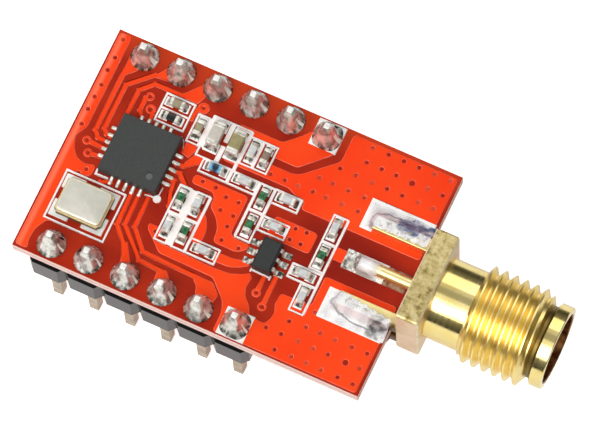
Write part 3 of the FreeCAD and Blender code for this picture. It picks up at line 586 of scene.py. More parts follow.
# %% Gold on the barrel and the flange
TURNING_MARKS = (1.0, 0.02, 0.02)
turned_gold, tree, shader = start_material("hard_gold_on_turned_brass", "#F7E294", 1.0, 0.13)
tree.links.new(mottled(tree, 1.2, [(0.3, "#F1D986"), (0.7, "#FBE8A2")]), shader.inputs["Base Color"])
uneven_gloss(tree, shader, 0.12, 0.08, 0.2, 1.0, TURNING_MARKS)
roughen(tree, shader, 0.12, 0.003, 0.5, 1.0, TURNING_MARKS)

milled_gold, tree, shader = start_material("hard_gold_on_milled_brass", "#E9D79A", 1.0, 0.42)
blotched = mottled(tree, 0.55, [(0.34, "#8E7C42"), (0.47, "#D3BF82"), (0.64, "#EBDCA8")], 6.0, 0.7)
plain = mottled(tree, 1.0, [(0.3, "#E6CBA6"), (0.7, "#F3DDBF")])
links = {"Factor": facing_up(tree), 6: plain, 7: blotched}
tone = add_node(tree, "ShaderNodeMix", {"data_type": "RGBA"}, links)
tree.links.new(tone.outputs[2], shader.inputs["Base Color"])
uneven_gloss(tree, shader, 0.3, 0.34, 0.55)
roughen(tree, shader, 0.3, 0.03, 0.6, 4.0)
print("gold:", turned_gold.name, milled_gold.name)

# %% Gold on the thread, the groove, the mouth, the legs and the edges
rolled_gold = plain_finish(
    "hard_gold_on_rolled_thread", 1.0, 0.3, 0.5, [(0.3, "#F7DC88"), (0.7, "#FDE9A6")], 3.0,
)
# The groove and the mouth are painted dark as their shade.
groove_painted_shade = plain_finish("gold_with_painted_shade_in_groove", 1.0, 0.4, 0.5, [(0.3, "#6A5830"), (0.7, "#8E7944")], 3.0)
mouth_painted_shade = plain_finish("brass_with_painted_shade_in_mouth", 1.0, 0.35, 0.5, [(0.35, "#6E3C1E"), (0.65, "#A87848")], 3.0)
# The broken edges' paler gold is a painted highlight.
edge_highlight_gold = plain_finish(
    "hard_gold_with_painted_edge_highlight", 0.5, 0.5, 0.3, [(0.3, "#E8D6A0"), (0.6, "#FFF6D8")], 3.0,
)

drawn_gold, tree, shader = start_material("hard_gold_on_drawn_pin", "#F4E29E", 1.0, 0.36)
clean_gold = mottled(tree, 0.8, [(0.3, "#EEDA90"), (0.7, "#F9EAB0")])
# A brown painted shade on the front legs between the board's end and the flange.
painted_shade_by_flange = (BOARD_HIGH[0] + 0.2, -3.1, BOARD_TOP - 0.6)
tone = stained(tree, clean_gold, "#5E4428", painted_shade_by_flange, (0.45, 0.35, 2.6), 0.4)
tree.links.new(tone, shader.inputs["Base Color"])

ptfe, tree, shader = start_material("turned_ptfe", "#ECEAE2", 0.0, 0.45, Subsurface_Weight=0.1)
shader.inputs["Subsurface Scale"].default_value = 0.5 * MM
roughen(tree, shader, 0.1, 0.004, 0.5, 1.0, (1.0, 0.05, 0.05))
print("thread and edges:", rolled_gold.name, groove_painted_shade.name, mouth_painted_shade.name, edge_highlight_gold.name)
print("pins and insulator:", drawn_gold.name, ptfe.name)

# %% [markdown]
# Next come the shapes. A workpiece collects points and faces in millimetres, each face with the number
# of its material, and is turned into one object at the end. Nothing else in the scene makes a mesh.

# %% A workpiece
class Workpiece:
    """Points and faces of one piece, in millimetres."""

    def __init__(self):
        self.points = []
        self.faces = []
        self.marks = []

    def add(self, points, faces, mark=0):
        """More points, and faces that count from the first of them."""
        start = len(self.points)
        self.points.extend(points)
        self.faces.extend([start + index for index in face] for face in faces)
        self.marks.extend([mark] * len(faces))

    def block(self, low, high, edge, mark=0, segments=2):
        """A box with rounded edges."""
        box = bmesh.new()
        bmesh.ops.create_cube(box, size=1.0)
        for corner in box.verts:
            corner.co = Vector(
                low[axis] + (corner.co[axis] + 0.5) * (high[axis] - low[axis]) for axis in range(3)
            )
        bmesh.ops.bevel(box, geom=box.edges[:], offset=edge, segments=segments, profile=0.5, affect="EDGES")
        box.verts.index_update()
        points = [tuple(corner.co) for corner in box.verts]
        self.add(points, [[corner.index for corner in face.verts] for face in box.faces], mark)
        box.free()

    def grid(self, rows, mark=0, closed=False):
        """A skin over rows of points, each row as long as the first."""
        width = len(rows[0])
        faces = []
        for row in range(len(rows) - 1):
            for column in range(width if closed else width - 1):
                following = (column + 1) % width
                low, high = row * width, (row + 1) * width
                faces.append([low + column, low + following, high + following, high + column])
        self.add([point for row in rows for point in row], faces, mark)

    def finish(self, name, slot, materials, replaces=(), sharp_angle=None, clean=0.0):
        """The object: it rides on the part's one body and stands for the nodes that it replaces. It is
        shaded smooth where its faces meet at less than the sharp angle, in degrees, and else flat."""
        mesh = bpy.data.meshes.new(name)
        mesh.from_pydata([Vector(point) * MM for point in self.points], [], self.faces)
        for material in materials:
            mesh.materials.append(material)
        for polygon, mark in zip(mesh.polygons, self.marks):
            polygon.material_index = mark
        if clean:
            body = bmesh.new()
            body.from_mesh(mesh)
            bmesh.ops.remove_doubles(body, verts=body.verts, dist=clean * MM)
            body.to_mesh(mesh)
            body.free()
        if sharp_angle:
            mesh.shade_smooth()
            mesh.set_sharp_from_angle(angle=math.radians(sharp_angle))
        mesh.validate()
        piece = bpy.data.objects.new(name, mesh)
        bpy.context.collection.objects.link(piece)
        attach(piece, "root")
        if replaces:
            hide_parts(*replaces)
        return piece


print("a workpiece can be started")

# %% [markdown]
# Copper, ink and tin are flat shapes a few hundredths of a millimetre thick. Each is drawn as simple
# outlines that overlap: discs, boxes, rounded outlines and strokes. A constrained triangulation then
# says of each small triangle which outlines it lies in, so outlines are joined and holes are cut in one
# go. The border is drawn in a little at the top, which gives every edge a sloped shoulder that catches
# the light. A real layer is 0.035 mm thick, and here it is a little more, so that its edge shows.

# %% Outlines
def disc(x, y, radius, sides=20):
    """A round outline."""
    turns = [2 * math.pi * side / sides for side in range(sides)]
    return [(x + radius * math.cos(turn), y + radius * math.sin(turn)) for turn in turns]


def rounded(points, radius, steps=4):
    """An outline whose corners are rounded."""
    outline = []
    count = len(points)
    for index, point in enumerate(points):
        corner = Vector(point)
        before = Vector(points[index - 1]) - corner
        after = Vector(points[(index + 1) % count]) - corner
        reach = min(radius, before.length * 0.45, after.length * 0.45)
        start, end = corner + before.normalized() * reach, corner + after.normalized() * reach
        for step in range(steps + 1):
            part = step / steps
            outline.append(tuple(start * (1 - part) ** 2 + corner * 2 * part * (1 - part) + end * part ** 2))
    return outline


def box_shape(left, bottom, right_side, top, radius=0.0):
    """A rectangle, with rounded corners where a radius is given."""
    corners = [(left, bottom), (right_side, bottom), (right_side, top), (left, top)]
    return rounded(corners, radius) if radius else corners


def stroke(points, width, closed=False):
    """A line of one width with round ends and corners, as a list of outlines."""
    outlines = [disc(x, y, width / 2, 14) for x, y in points]
    run = list(points) + ([points[0]] if closed else [])
    for start, end in zip(run, run[1:]):
        along = (Vector(end) - Vector(start)).normalized() * (width / 2)
        side = Vector((-along.y, along.x))
        outlines.append([
            tuple(Vector(start) + side), tuple(Vector(start) - side),
            tuple(Vector(end) - side), tuple(Vector(end) + side),
        ])
    return outlines


print("outlines can be drawn")

# %% Outlines joined and cut
INSIDE_OUTLINES = 1
MERGE_WITHIN = 1e-4


def anticlockwise(outline):
    """The outline in the order that the triangulation wants."""
    area = sum(a[0] * b[1] - b[0] * a[1] for a, b in zip(outline, outline[1:] + outline[:1]))
    return outline if area > 0 else outline[::-1]


def joined(shapes, holes):
    """Points and triangles of all shapes together, less the holes."""
    points, outlines = [], []
    for shape in shapes + holes:
        start = len(points)
        points.extend(Vector(point) for point in anticlockwise(list(shape)))
        outlines.append(list(range(start, len(points))))
    result = geometry.delaunay_2d_cdt(points, [], outlines, INSIDE_OUTLINES, MERGE_WITHIN)
    first_hole = len(shapes)
    kept = []
    for triangle, owners in zip(result[2], result[5]):
        if any(owner < first_hole for owner in owners) and not any(owner >= first_hole for owner in owners):
            kept.append(list(triangle))
    return [tuple(point) for point in result[0]], kept


print("outlines can be joined and cut")

# %% Shoulders
BLUNTEST_CORNER = 0.6
NO_LENGTH = 1e-6


def drawn_in(points, border, shoulder):
    """Where each border point goes when the outline is drawn in by a shoulder's width."""
    leaving, arriving = {}, {}
    for a, b in sorted(border):
        leaving.setdefault(a, []).append(b)
        arriving.setdefault(b, []).append(a)
    moved = {}
    for index in leaving:
        here = Vector(points[index])
        moved[index] = here
        if len(leaving[index]) > 1 or len(arriving.get(index, [])) != 1:
            continue
        onward = (Vector(points[leaving[index][0]]) - here).normalized()
        onto = (here - Vector(points[arriving[index][0]])).normalized()
        inward = Vector((-onward.y - onto.y, onward.x + onto.x))
        if inward.length >= NO_LENGTH:
            half_cosine = max(inward.length / 2, BLUNTEST_CORNER)
            moved[index] = here + inward.normalized() * shoulder / half_cosine
    return moved


print("an outline can be drawn in")

# %% Flat layers
EDGE_SHARE = 0.06


def slab(workpiece, shapes, holes, base, top, shoulder, to_space=None, marks=(0, 1), both=False):
    """A flat layer with sloped shoulders, between two heights. Both gives it a lower face too."""
    points, triangles = joined(shapes, holes)
    edges = {(t[i], t[(i + 1) % 3]) for t in triangles for i in range(3)}
    border = [(a, b) for a, b in edges if (b, a) not in edges]
    inner = drawn_in(points, border, shoulder)
    used = sorted({index for triangle in triangles for index in triangle})
    on_rim = sorted(inner)
    number = {index: place for place, index in enumerate(used)}
    rim = {index: len(used) + place for place, index in enumerate(on_rim)}
    space = to_space or (lambda x, y, z: (x, y, z))

    def face_at(height):
        return [space(*inner.get(index, points[index]), height) for index in used]

    def rim_at(height):
        return [space(*points[index], height) for index in on_rim]

    faces = [[number[index] for index in triangle] for triangle in triangles]
    walls = [[rim[a], rim[b], number[b], number[a]] for a, b in border]
    if both:
        edge = (top - base) * EDGE_SHARE
        low_rim = {index: place + len(on_rim) for index, place in rim.items()}
        low_number = {index: place + len(used) + 2 * len(on_rim) for index, place in number.items()}
        walls += [[low_rim[a], low_rim[b], rim[b], rim[a]] for a, b in border]
        walls += [[low_number[a], low_number[b], low_rim[b], low_rim[a]] for a, b in border]
        faces += [[low_number[index] for index in triangle[::-1]] for triangle in triangles]
        layers = face_at(top) + rim_at(top - edge) + rim_at(base + edge) + face_at(base)
    else:
        layers = face_at(top) + rim_at(base)
    if (top < base) != (to_space is not None):
        faces = [face[::-1] for face in faces]
        walls = [wall[::-1] for wall in walls]
    start = len(workpiece.faces)
    workpiece.add(layers, faces + walls, marks[0])
    for place in range(start + len(faces), len(workpiece.faces)):
        workpiece.marks[place] = marks[1]
    return len(triangles)


print("flat layers can be made")

# %% [markdown]
# The copper on the component side, as the layout has it: signal tracks about a quarter of a millimetre
# wide from the chip to the header pins, a ground pour round the board's border and between the filters,
# and plated holes that tie the pours to the other side. Where a hole lies in a pour, the mask sinks into
# it, so each is a small pit. The pours stay clear of one end of the crystal and of one pair of components.

# %% Where the tracks run
TRACK = 0.33
TRACKS = [
    [(-6.0, 0.25), (-7.3, 0.3)],
    [(-6.0, -0.3), (-6.87, -0.42)],
    [(-6.1, 0.72), (-6.75, 0.72), (-7.12, 1.1), (-7.12, 5.6)],
    [(-6.1, 1.15), (-6.35, 1.15), (-6.65, 1.45), (-6.65, 4.65), (-5.25, 6.0), (-4.2, 6.1)],
    [(-5.77, 2.0), (-5.77, 4.65), (-5.0, 5.45), (-3.0, 5.45)],
    [(-4.8, 3.1), (-5.15, 3.45), (-5.15, 4.4), (-4.95, 4.5)],
    [(-4.25, 3.1), (-4.3, 3.5), (-4.5, 3.85)],
    [(-1.9, 4.3), (-1.85, 5.0), (-1.5, 5.2)],
    [(-3.25, -1.7), (-3.2, -3.95), (-2.3, -4.85), (-1.95, -5.6)],
    [(-2.77, -1.7), (-2.75, -3.75), (-1.3, -5.1), (-0.95, -5.5), (0.6, -5.55)],
    [(-2.15, -1.4), (-2.12, -3.65), (-0.95, -4.9), (2.7, -5.0)],
    [(-5.35, -1.85), (-5.0, -1.7), (-4.75, -1.6)],
    [(-1.5, 1.2), (-1.05, 1.25), (-0.1, 2.0)],
    [(-1.5, 0.72), (-1.05, 0.75), (-0.35, 0.1)],
    [(-1.5, 0.2), (-1.15, 0.15), (-1.05, -0.6), (-0.75, -1.5)],
    [(7.35, -2.7), (7.35, -5.0)],
    [(6.65, -3.2), (6.65, -4.3)],
]
LANDED_HOLES = [
    (-7.3, 0.3, 0.3), (-6.87, -0.42, 0.3), (-4.93, 4.55, 0.3), (-4.52, 3.82, 0.32), (-1.52, 5.25, 0.38),
    (7.35, -5.05, 0.3), (6.65, -4.37, 0.3),
]
print(len(TRACKS), "tracks and", len(LANDED_HOLES), "holes that end one")

# %% Where the pours lie
POURS = [
    rounded([(-8.49, 7.7), (-8.49, -7.7), (-7.6, -7.7), (-7.78, -7.1), (-7.72, -6.3), (-7.45, -5.8),
             (-7.3, -5.5), (-6.5, -5.4), (-6.5, -1.95), (-6.05, -1.75), (-6.05, -0.95), (-6.7, -1.15),
             (-7.35, -1.0), (-7.75, -0.55), (-8.1, 0.3), (-7.65, 1.1), (-7.65, 7.7)], 0.25),
    rounded([(-7.25, 4.9), (-6.35, 5.8), (-6.4, 6.9), (-7.25, 6.9)], 0.1),
    rounded([(-5.3, 5.9), (-3.9, 6.1), (-4.0, 6.9), (-4.7, 6.8)], 0.1),
    rounded([(-3.4, 5.33), (-2.0, 5.33), (-1.6, 6.2), (-1.3, 6.9), (-2.0, 6.9), (-2.9, 5.85)], 0.1),
    rounded([(-1.55, 2.0), (-1.0, 1.85), (-0.75, 2.5), (-0.85, 2.85), (-1.55, 2.85)], 0.08),
    rounded([(-1.0, 1.1), (-0.3, 1.9), (0.0, 2.35), (-0.75, 2.2), (-1.1, 1.45)], 0.05),
    rounded([(-2.5, -4.85), (-2.0, -5.9), (-1.9, -6.8), (-0.9, -6.8), (-1.3, -5.9), (-2.1, -4.7)], 0.1),
    rounded([(-0.2, -5.43), (0.95, -5.4), (1.4, -5.9), (1.27, -6.8), (0.5, -6.5), (0.4, -5.68)], 0.1),
    rounded([(2.4, -4.88), (3.9, -4.88), (4.55, -5.5), (4.45, -6.2), (3.8, -6.8), (3.2, -6.1), (3.05, -5.55),
             (2.6, -5.12)], 0.15),
    rounded([(7.82, 7.62), (7.82, 5.62), (5.9, 3.85), (5.4, 3.65), (1.0, 3.65), (1.0, 2.65), (5.6, 2.68),
             (6.0, 2.45), (6.85, 2.3), (6.85, 1.73), (15.0, 1.73), (15.0, 7.62)], 0.25),
    rounded([(1.0, 5.28), (3.95, 5.28), (4.9, 6.2), (5.5, 6.9), (7.2, 6.9), (7.2, 5.8), (5.5, 4.12),
             (1.0, 4.12)], 0.2),
    rounded([(-0.15, 1.12), (3.55, 1.12), (3.55, -1.55), (4.0, -1.72), (4.95, -1.72), (4.9, -2.1),
             (4.4, -2.5), (2.75, -2.5), (2.65, -1.6), (2.2, -0.9), (1.6, -0.45), (1.6, 0.15), (1.35, 0.47),
             (-0.15, 0.47)], 0.3),
    rounded([(1.2, -0.85), (1.7, -1.15), (2.1, -1.9), (2.1, -3.0), (1.2, -3.0)], 0.35),
    rounded([(3.0, -2.97), (4.4, -2.95), (5.0, -2.78), (5.5, -2.6), (5.5, -3.0), (4.95, -3.35), (4.4, -3.57),
             (3.0, -3.62)], 0.25),
    rounded([(-1.4, -3.0), (-0.5, -3.0), (-0.5, -3.9), (3.45, -4.0), (4.6, -3.92), (5.35, -3.62),
             (5.75, -3.35), (6.0, -3.6), (5.9, -4.3), (6.1, -4.85), (6.6, -5.3), (6.85, -5.85),
             (7.9, -6.0), (8.15, -5.6), (8.2, -5.0), (8.0, -4.6), (8.05, -3.75), (10.1, -3.7), (10.1, -1.6),
             (15.0, -1.6), (15.0, -7.74), (5.2, -7.74), (5.2, -6.5), (4.95, -5.75), (3.75, -4.6),
             (0.0, -4.55), (-1.35, -3.35)], 0.22),
    rounded([(5.6, 0.72), (8.55, 0.72), (8.55, -0.75), (5.6, -0.75)], 0.3),
    box_shape(10.0, -0.42, 10.8, 0.45, 0.05),
    box_shape(9.8, -1.0, 10.05, 0.45, 0.05),
]
print(len(POURS), "pours")

# %% Where the plated holes are
POUR_HOLES = [
    (-8.1, 7.3), (-8.05, 6.0), (-8.12, 5.05), (-8.05, 4.0), (-8.1, 3.12), (-8.12, 2.2), (-8.05, 1.15),
    (-6.5, -1.45), (-6.85, -1.88), (0.5, 0.85), (1.42, 0.83), (2.27, 0.52), (3.13, 0.52), (2.3, -0.4),
    (3.2, -0.42), (3.15, -1.2), (3.2, -2.15), (4.4, -2.2), (-0.8, -3.35), (7.1, 0.45), (7.85, 0.5),
    (7.05, -0.35), (7.8, -0.35),
]
STITCHES = [
    (9.25, 7.3), (10.35, 7.3), (11.4, 7.3), (12.45, 7.3), (13.5, 7.3), (14.6, 7.33),
    (9.3, 6.25), (10.35, 6.25), (11.35, 6.25), (13.5, 6.25), (14.55, 6.25),
    (7.97, 5.2), (9.05, 5.2), (10.18, 5.2), (11.2, 5.2), (12.25, 5.2), (13.35, 5.2), (14.35, 5.2),
    (7.05, 4.1), (7.97, 4.1), (9.05, 4.1), (10.15, 4.1),
    (4.15, 3.05), (5.15, 3.05), (6.05, 3.05), (7.05, 3.1), (7.97, 3.1), (9.05, 3.1), (10.15, 3.1),
    (9.3, -5.2), (10.4, -5.1), (11.4, -5.1), (12.4, -5.1), (13.55, -5.1), (14.6, -5.1),
    (8.15, -6.15), (9.2, -6.15), (10.35, -6.15), (11.4, -6.18), (12.4, -6.15), (14.55, -6.15),
    (9.25, -7.25), (10.38, -7.23), (11.4, -7.23), (12.42, -7.25), (13.55, -7.25), (14.6, -7.27), (10.5, -4.0),
]
OPEN_STITCHES = [(12.47, 6.2), (13.6, -6.18)]
print(len(POUR_HOLES) + len(STITCHES) + len(OPEN_STITCHES), "plated holes")

# %% Copper on the component side
COPPER_THICK = 0.045
SHOULDER = 0.045
PIT = 0.13
STITCH_PIT = 0.125
OPEN_PIT = 0.19
PIT_FLOOR = BOARD_TOP + COPPER_THICK * 0.4
CLEAR_OF_CRYSTAL = box_shape(-7.49, -5.29, -6.3, -2.06, 0.05)
CLEAR_OF_PAIR = box_shape(2.05, 2.95, 3.83, 4.73, 0.05)

shapes = [list(pour) for pour in POURS]
for points in TRACKS:
    shapes += stroke(points, TRACK)
shapes += [disc(x, y, radius) for x, y, radius in LANDED_HOLES]
holes = [disc(x, y, PIT, 14) for x, y, radius in LANDED_HOLES]
holes += [disc(x, y, PIT, 14) for x, y in POUR_HOLES]
holes += [disc(x, y, STITCH_PIT, 16) for x, y in STITCHES]
holes += [disc(x, y, OPEN_PIT, 16) for x, y in OPEN_STITCHES]
holes += [CLEAR_OF_CRYSTAL, CLEAR_OF_PAIR]
copper = Workpiece()
triangles = slab(copper, shapes, holes, BOARD_TOP, BOARD_TOP + COPPER_THICK, SHOULDER)
for x, y in STITCHES:
    pit = disc(x, y, STITCH_PIT, 16)
    copper.add([(px, py, PIT_FLOOR) for px, py in pit], [list(range(len(pit)))], 2)
copper.finish("masked_copper_top", "red_laminate", [copper_mask, shoulder_mask_and_highlight, sunk_mask])
print("copper on the component side:", triangles, "triangles")

# %% [markdown]
# The far side of such a module is mostly one ground pour, with room left round the header pins. It has
# the same stitching holes, and pads for the connector's lower legs.

# %% Copper on the far side
shapes = [box_shape(-8.3, -5.3, 14.9, 5.3, 0.3), box_shape(7.9, -7.55, 14.9, 7.55, 0.3)]
holes = [disc(x, y, STITCH_PIT, 14) for x, y in STITCHES + POUR_HOLES]
holes += [disc(x, y, PIT, 14) for x, y, radius in LANDED_HOLES]
holes += [box_shape(9.9, -1.5, 15.1, 1.5, 0.2)]
under = Workpiece()
slab(under, shapes, holes, BOARD_BOTTOM, BOARD_BOTTOM - COPPER_THICK, SHOULDER)
under.finish("masked_copper_underside", "red_laminate", [copper_mask, shoulder_mask_and_highlight])
print("copper on the far side is laid")

# %% [markdown]
# The white legend marks where each component goes with a box. The boxes share their lines where
# components stand close, and where two components stand side by side the ink between them closes into a
# broad bar. A few short strokes and a dot mark how the chip and the crystal are turned.

# %% Where the legend's lines run
BOXES = [
    (-4.03, 3.3, -2.07, 5.22), (-1.62, 2.85, -0.82, 4.78), (-0.68, 2.28, 1.98, 5.08), (2.0, 2.9, 2.86, 4.78),
    (2.86, 2.9, 3.88, 4.78), (-0.08, 1.38, 1.82, 2.25), (1.92, 1.38, 3.76, 2.25), (3.88, 0.45, 4.84, 2.25),
    (4.92, 1.38, 6.72, 2.28), (3.88, -1.58, 4.84, 0.38), (4.92, -0.6, 6.72, 0.38), (-0.68, -1.78, 0.1, 0.08),
    (0.5, -1.78, 1.38, 0.08), (-0.68, -3.82, 0.1, -1.86), (0.5, -3.82, 1.38, -1.86),
    (1.45, -3.82, 3.42, -2.82), (8.93, 0.42, 9.88, 2.28), (8.93, -1.5, 9.88, 0.35),
    (7.92, -2.58, 9.88, -1.66), (8.93, -4.52, 9.88, -2.62), (-7.57, -5.37, -3.5, -1.98),
]
BANDS = [
    (0.52, 3.75, 0.86, 5.05), (0.52, 2.3, 0.86, 3.5), (0.08, -3.85, 0.52, 0.1), (-0.7, 2.85, -0.45, 5.1),
    (1.82, 2.85, 2.1, 5.1), (1.8, 1.4, 1.95, 2.9), (3.74, -1.55, 3.95, 2.25), (4.76, 0.4, 5.0, 2.25),
    (9.8, -4.5, 10.0, 2.3), (1.3, -3.85, 1.52, 0.1), (-0.7, -1.88, 1.45, -1.74), (2.78, 2.95, 3.02, 4.73),
]
STROKES = [
    ([(-4.05, 4.24), (-2.07, 4.24)], 0.14), ([(-5.85, -1.15), (-5.85, -1.48), (-5.05, -1.46)], 0.16),
    ([(-2.4, -1.45), (-1.75, -1.36)], 0.12), ([(-1.6, -0.6), (-1.62, -1.2)], 0.1),
    ([(-1.98, 2.98), (-1.72, 2.72), (-1.58, 2.35)], 0.07), ([(5.7, -3.12), (7.0, -3.16)], 0.13),
    ([(5.7, -3.02), (5.7, -3.22)], 0.13), ([(7.0, -3.06), (7.0, -3.26)], 0.13),
]
print(len(BOXES), "boxes,", len(BANDS), "bands and", len(STROKES), "strokes")

# %% White legend
INK_TOP = 0.075
INK_SHOULDER = 0.025
LINE = 0.15
PIN_ONE_DOT = disc(-1.62, -1.4, 0.27)
shapes = []
for box in BOXES:
    shapes += stroke(box_shape(*box), LINE, closed=True)
shapes += [box_shape(*band, 0.05) for band in BANDS]
for points, width in STROKES:
    shapes += stroke(points, width)
shapes.append(PIN_ONE_DOT)
legend = Workpiece()
slab(legend, shapes, [], BOARD_TOP, BOARD_TOP + INK_TOP, INK_SHOULDER, marks=(0, 0))
legend.finish("white_legend", "red_laminate", [ink])
print("legend:", len(shapes), "outlines")

# %% [markdown]
# Bare pads lie where the mask is left open: long ones for the connector's legs and centre pin, a round
# ring at every header pin and a square one at the last pin of each row, and small ones for the crystal.
# They are slabs like the copper, a little higher than the mask round them. The bare end under the centre
# pin has a piece of its own, painted dark as the pin's shade.

# %% Tinned pads
PAD_TOP = 0.065
PAD_SHOULDER = 0.04
PIN_PAD_HALF = 0.96
PIN_PAD_RADIUS = 0.9
PIN_PLACES = {}
for row in ("front", "rear"):
    for number in range(1, 7):
        low, high = node_box(f"header_pin_{row}_{number}")
        PIN_PLACES[f"{row}_{number}"] = ((low[0] + high[0]) / 2, (low[1] + high[1]) / 2)
CRYSTAL_PADS = [
    (-7.45, -3.15, -6.1, -2.15), (-5.15, -3.2, -3.75, -2.15), (-7.45, -5.1, -6.12, -3.95),
    (-5.22, -5.1, -3.75, -3.9),
]
CONNECTOR_PADS = [
    (10.62, 2.17, 11.5, 4.33), (11.3, 2.27, 15.05, 4.33), (10.62, -4.22, 15.02, -2.05),
    (10.68, -0.66, 12.9, 0.66),
]
LOWER_PADS = [(10.9, 2.0, 15.0, 4.3), (10.9, -4.3, 15.0, -2.0)]
UNDER_CENTRE_PIN = (12.88, -0.64, 15.02, 0.64)
shapes = [box_shape(*pad, 0.06) for pad in CONNECTOR_PADS]
shapes += [box_shape(*pad, 0.08) for pad in CRYSTAL_PADS]
for name, (x, y) in PIN_PLACES.items():
    if name.endswith("6"):
        shapes.append(box_shape(x - PIN_PAD_HALF, y - PIN_PAD_HALF, x + PIN_PAD_HALF, y + PIN_PAD_HALF, 0.06))
    else:
        shapes.append(disc(x, y, PIN_PAD_RADIUS, 32))
pads = Workpiece()
slab(pads, shapes, [], BOARD_TOP, BOARD_TOP + PAD_TOP, PAD_SHOULDER, marks=(0, 0))
shapes = [box_shape(*pad, 0.06) for pad in LOWER_PADS]
slab(pads, shapes, [], BOARD_BOTTOM, BOARD_BOTTOM - PAD_TOP, PAD_SHOULDER, marks=(0, 0))
# The bare end under the centre pin is painted dark as the pin's shade.
shapes = [box_shape(*UNDER_CENTRE_PIN, 0.03)]
slab(pads, shapes, [], BOARD_TOP, BOARD_TOP + PAD_TOP - 0.01, 0.05, marks=(1, 1))
pads.finish("tinned_pads", "tinned_copper", [tin, tin_with_painted_shade])
print("pads are tinned")

# %% [markdown]
# Each header pin comes up through its pad in a tall cone of solder. Molten solder climbs the square pin,
# so the cone is round at its foot and turns faintly square towards the pin, and no two are quite alike.
# A seeded random generator gives each its own small waves, and a narrow painted glint on the side towards
# the connector. Three of them have a blowhole where flux boiled out. The last pin of each row stands on a
# square pad, and there the foot of the solder is drawn a little towards the pad's corners.

# %% Form and marks of a joint
JOINT_PROFILE = [
    (0.93, 0.0, 2.0), (0.935, 0.05, 2.0), (0.9, 0.12, 2.0), (0.83, 0.21, 2.0), (0.74, 0.34, 2.1),
    (0.65, 0.52, 2.3), (0.565, 0.75, 2.6), (0.495, 1.02, 3.0), (0.435, 1.3, 3.8), (0.385, 1.5, 5.0),
    (0.352, 1.65, 8.0), (0.292, 1.8, 8.0), (0.236, 1.95, 7.0), (0.19, 2.045, 6.0), (0.165, 2.06, 5.0),
]
JOINT_SIDES = 96
SQUARE_FOOT = 0.9
BLOWHOLES = {"front_1": 0.75, "front_2": 2.85, "rear_6": 1.2}
BLOWHOLE_HALF = 0.17
BLOWHOLE_RINGS = range(3, 7)
GLINT_RINGS = range(2, 7)
CONE, TIP, HOLE, GLINT = range(4)


def mark_between(cone, steps, middle, half_width, mark):
    """Another material on the part of a cone between some rings, about one turn of the axis."""
    for step in steps:
        for side in range(JOINT_SIDES):
            turn = 2 * math.pi * (side + 0.5) / JOINT_SIDES - middle
            if abs(math.remainder(turn, 2 * math.pi)) < half_width:
                cone.marks[step * JOINT_SIDES + side] = mark


print("a joint has", len(JOINT_PROFILE), "rings")

# %% Solder on the header pins
chance = random.Random(41)
glint_chance = random.Random(7)


def solder_joint(name, x, y, square_foot):
    """One cone of solder, a stack of rings that turn from round to square as they near the tip."""
    phases = [chance.uniform(0, 2 * math.pi) for _ in range(5)]
    streaks = chance.choice([8, 9, 11])
    lean = (chance.uniform(-0.08, 0.08), chance.uniform(-0.08, 0.08))
    plump = chance.uniform(0.0, 0.1)
    top = JOINT_PROFILE[-1][1]
    rows = []
    for reach, height, squareness in JOINT_PROFILE:
        climb = height / top
        belly = math.sin(math.pi * min(1.0, climb * 1.4)) if climb < 0.7 else 0.0
        ring = []
        for side in range(JOINT_SIDES):
            turn = 2 * math.pi * side / JOINT_SIDES
            power = squareness
            if square_foot:
                power += SQUARE_FOOT * (1 - climb) ** 8
            shape = (abs(math.cos(turn)) ** power + abs(math.sin(turn)) ** power) ** (-1 / power)
            wave = 0.05 * math.sin(2 * turn + phases[0]) + 0.03 * math.sin(3 * turn + phases[1] + 2 * climb)
            wave += 0.06 * math.sin(streaks * turn + phases[2] + 1.5 * climb) * (1 - climb)
            wave += 0.02 * math.sin(5 * turn + phases[3] - 3 * climb)
            wave += 0.02 * math.sin(3 * streaks * turn + phases[4]) * (1 - climb) ** 3
            radius = reach * shape * (1 + (wave + plump) * belly)
            ring.append((
                x + radius * math.cos(turn) + lean[0] * belly, y + radius * math.sin(turn) + lean[1] * belly,
                BOARD_TOP + height,
            ))
        rows.append(ring)
    cone = Workpiece()
    cone.grid(rows[:-1], CONE, closed=True)
    # The glint is painted on rings of the cone that face the connector.
    middle, half_width = glint_chance.uniform(-0.25, 0.0), glint_chance.uniform(0.11, 0.2)
    mark_between(cone, GLINT_RINGS, middle, half_width, GLINT)
    if name in BLOWHOLES:
        mark_between(cone, BLOWHOLE_RINGS, BLOWHOLES[name], BLOWHOLE_HALF, HOLE)
    cone.grid(rows[-2:], TIP, closed=True)
    cone.add(rows[-1], [list(range(JOINT_SIDES))], TIP)
    cone.finish(
        f"solder_cone_{name}", "solder", [solder, cut_tip, blowhole, painted_glint],
        replaces=[f"solder_joint_{name}"], sharp_angle=60, clean=0.0005,
    )


for name, (x, y) in PIN_PLACES.items():
    solder_joint(name, x, y, name.endswith("6"))

# %% [markdown]
# The small components are all the same kind of thing: a ceramic block with a metal cap on each end, and
# solder drawn up each cap in a hollow slope from its pad. So one function makes any of them from its
# node's own box, and a table says which ceramic it is.

# %% A slope of solder
def hollow_slope(workpiece, start, end, half_width, height, to_space, mark, spread):
    """Solder that rises in a hollow curve from a pad's edge to a cap."""
    rows = []
    for step in range(8):
        part = step / 7
        along = start + (end - start) * part
        crest = height * (1 - part) ** 2.0
        wide = half_width * (1 + (spread - 1) * math.sin(math.pi * 0.5 * part))
        if step == 7:
            wide *= 0.86
        row = [to_space(along, -wide * 1.04, 0.0)]
        for across in range(-4, 5):
            side = across / 4
            row.append(to_space(along, side * wide, 0.05 + crest * (1 - 0.75 * abs(side) ** 3)))
        row.append(to_space(along, wide * 1.04, 0.0))
        rows.append(row)
    rows.append([to_space(end * 1.02, across / 5 * half_width, 0.0) for across in range(-5, 6)])
    workpiece.grid(rows, mark)


print("solder can be drawn up a cap")

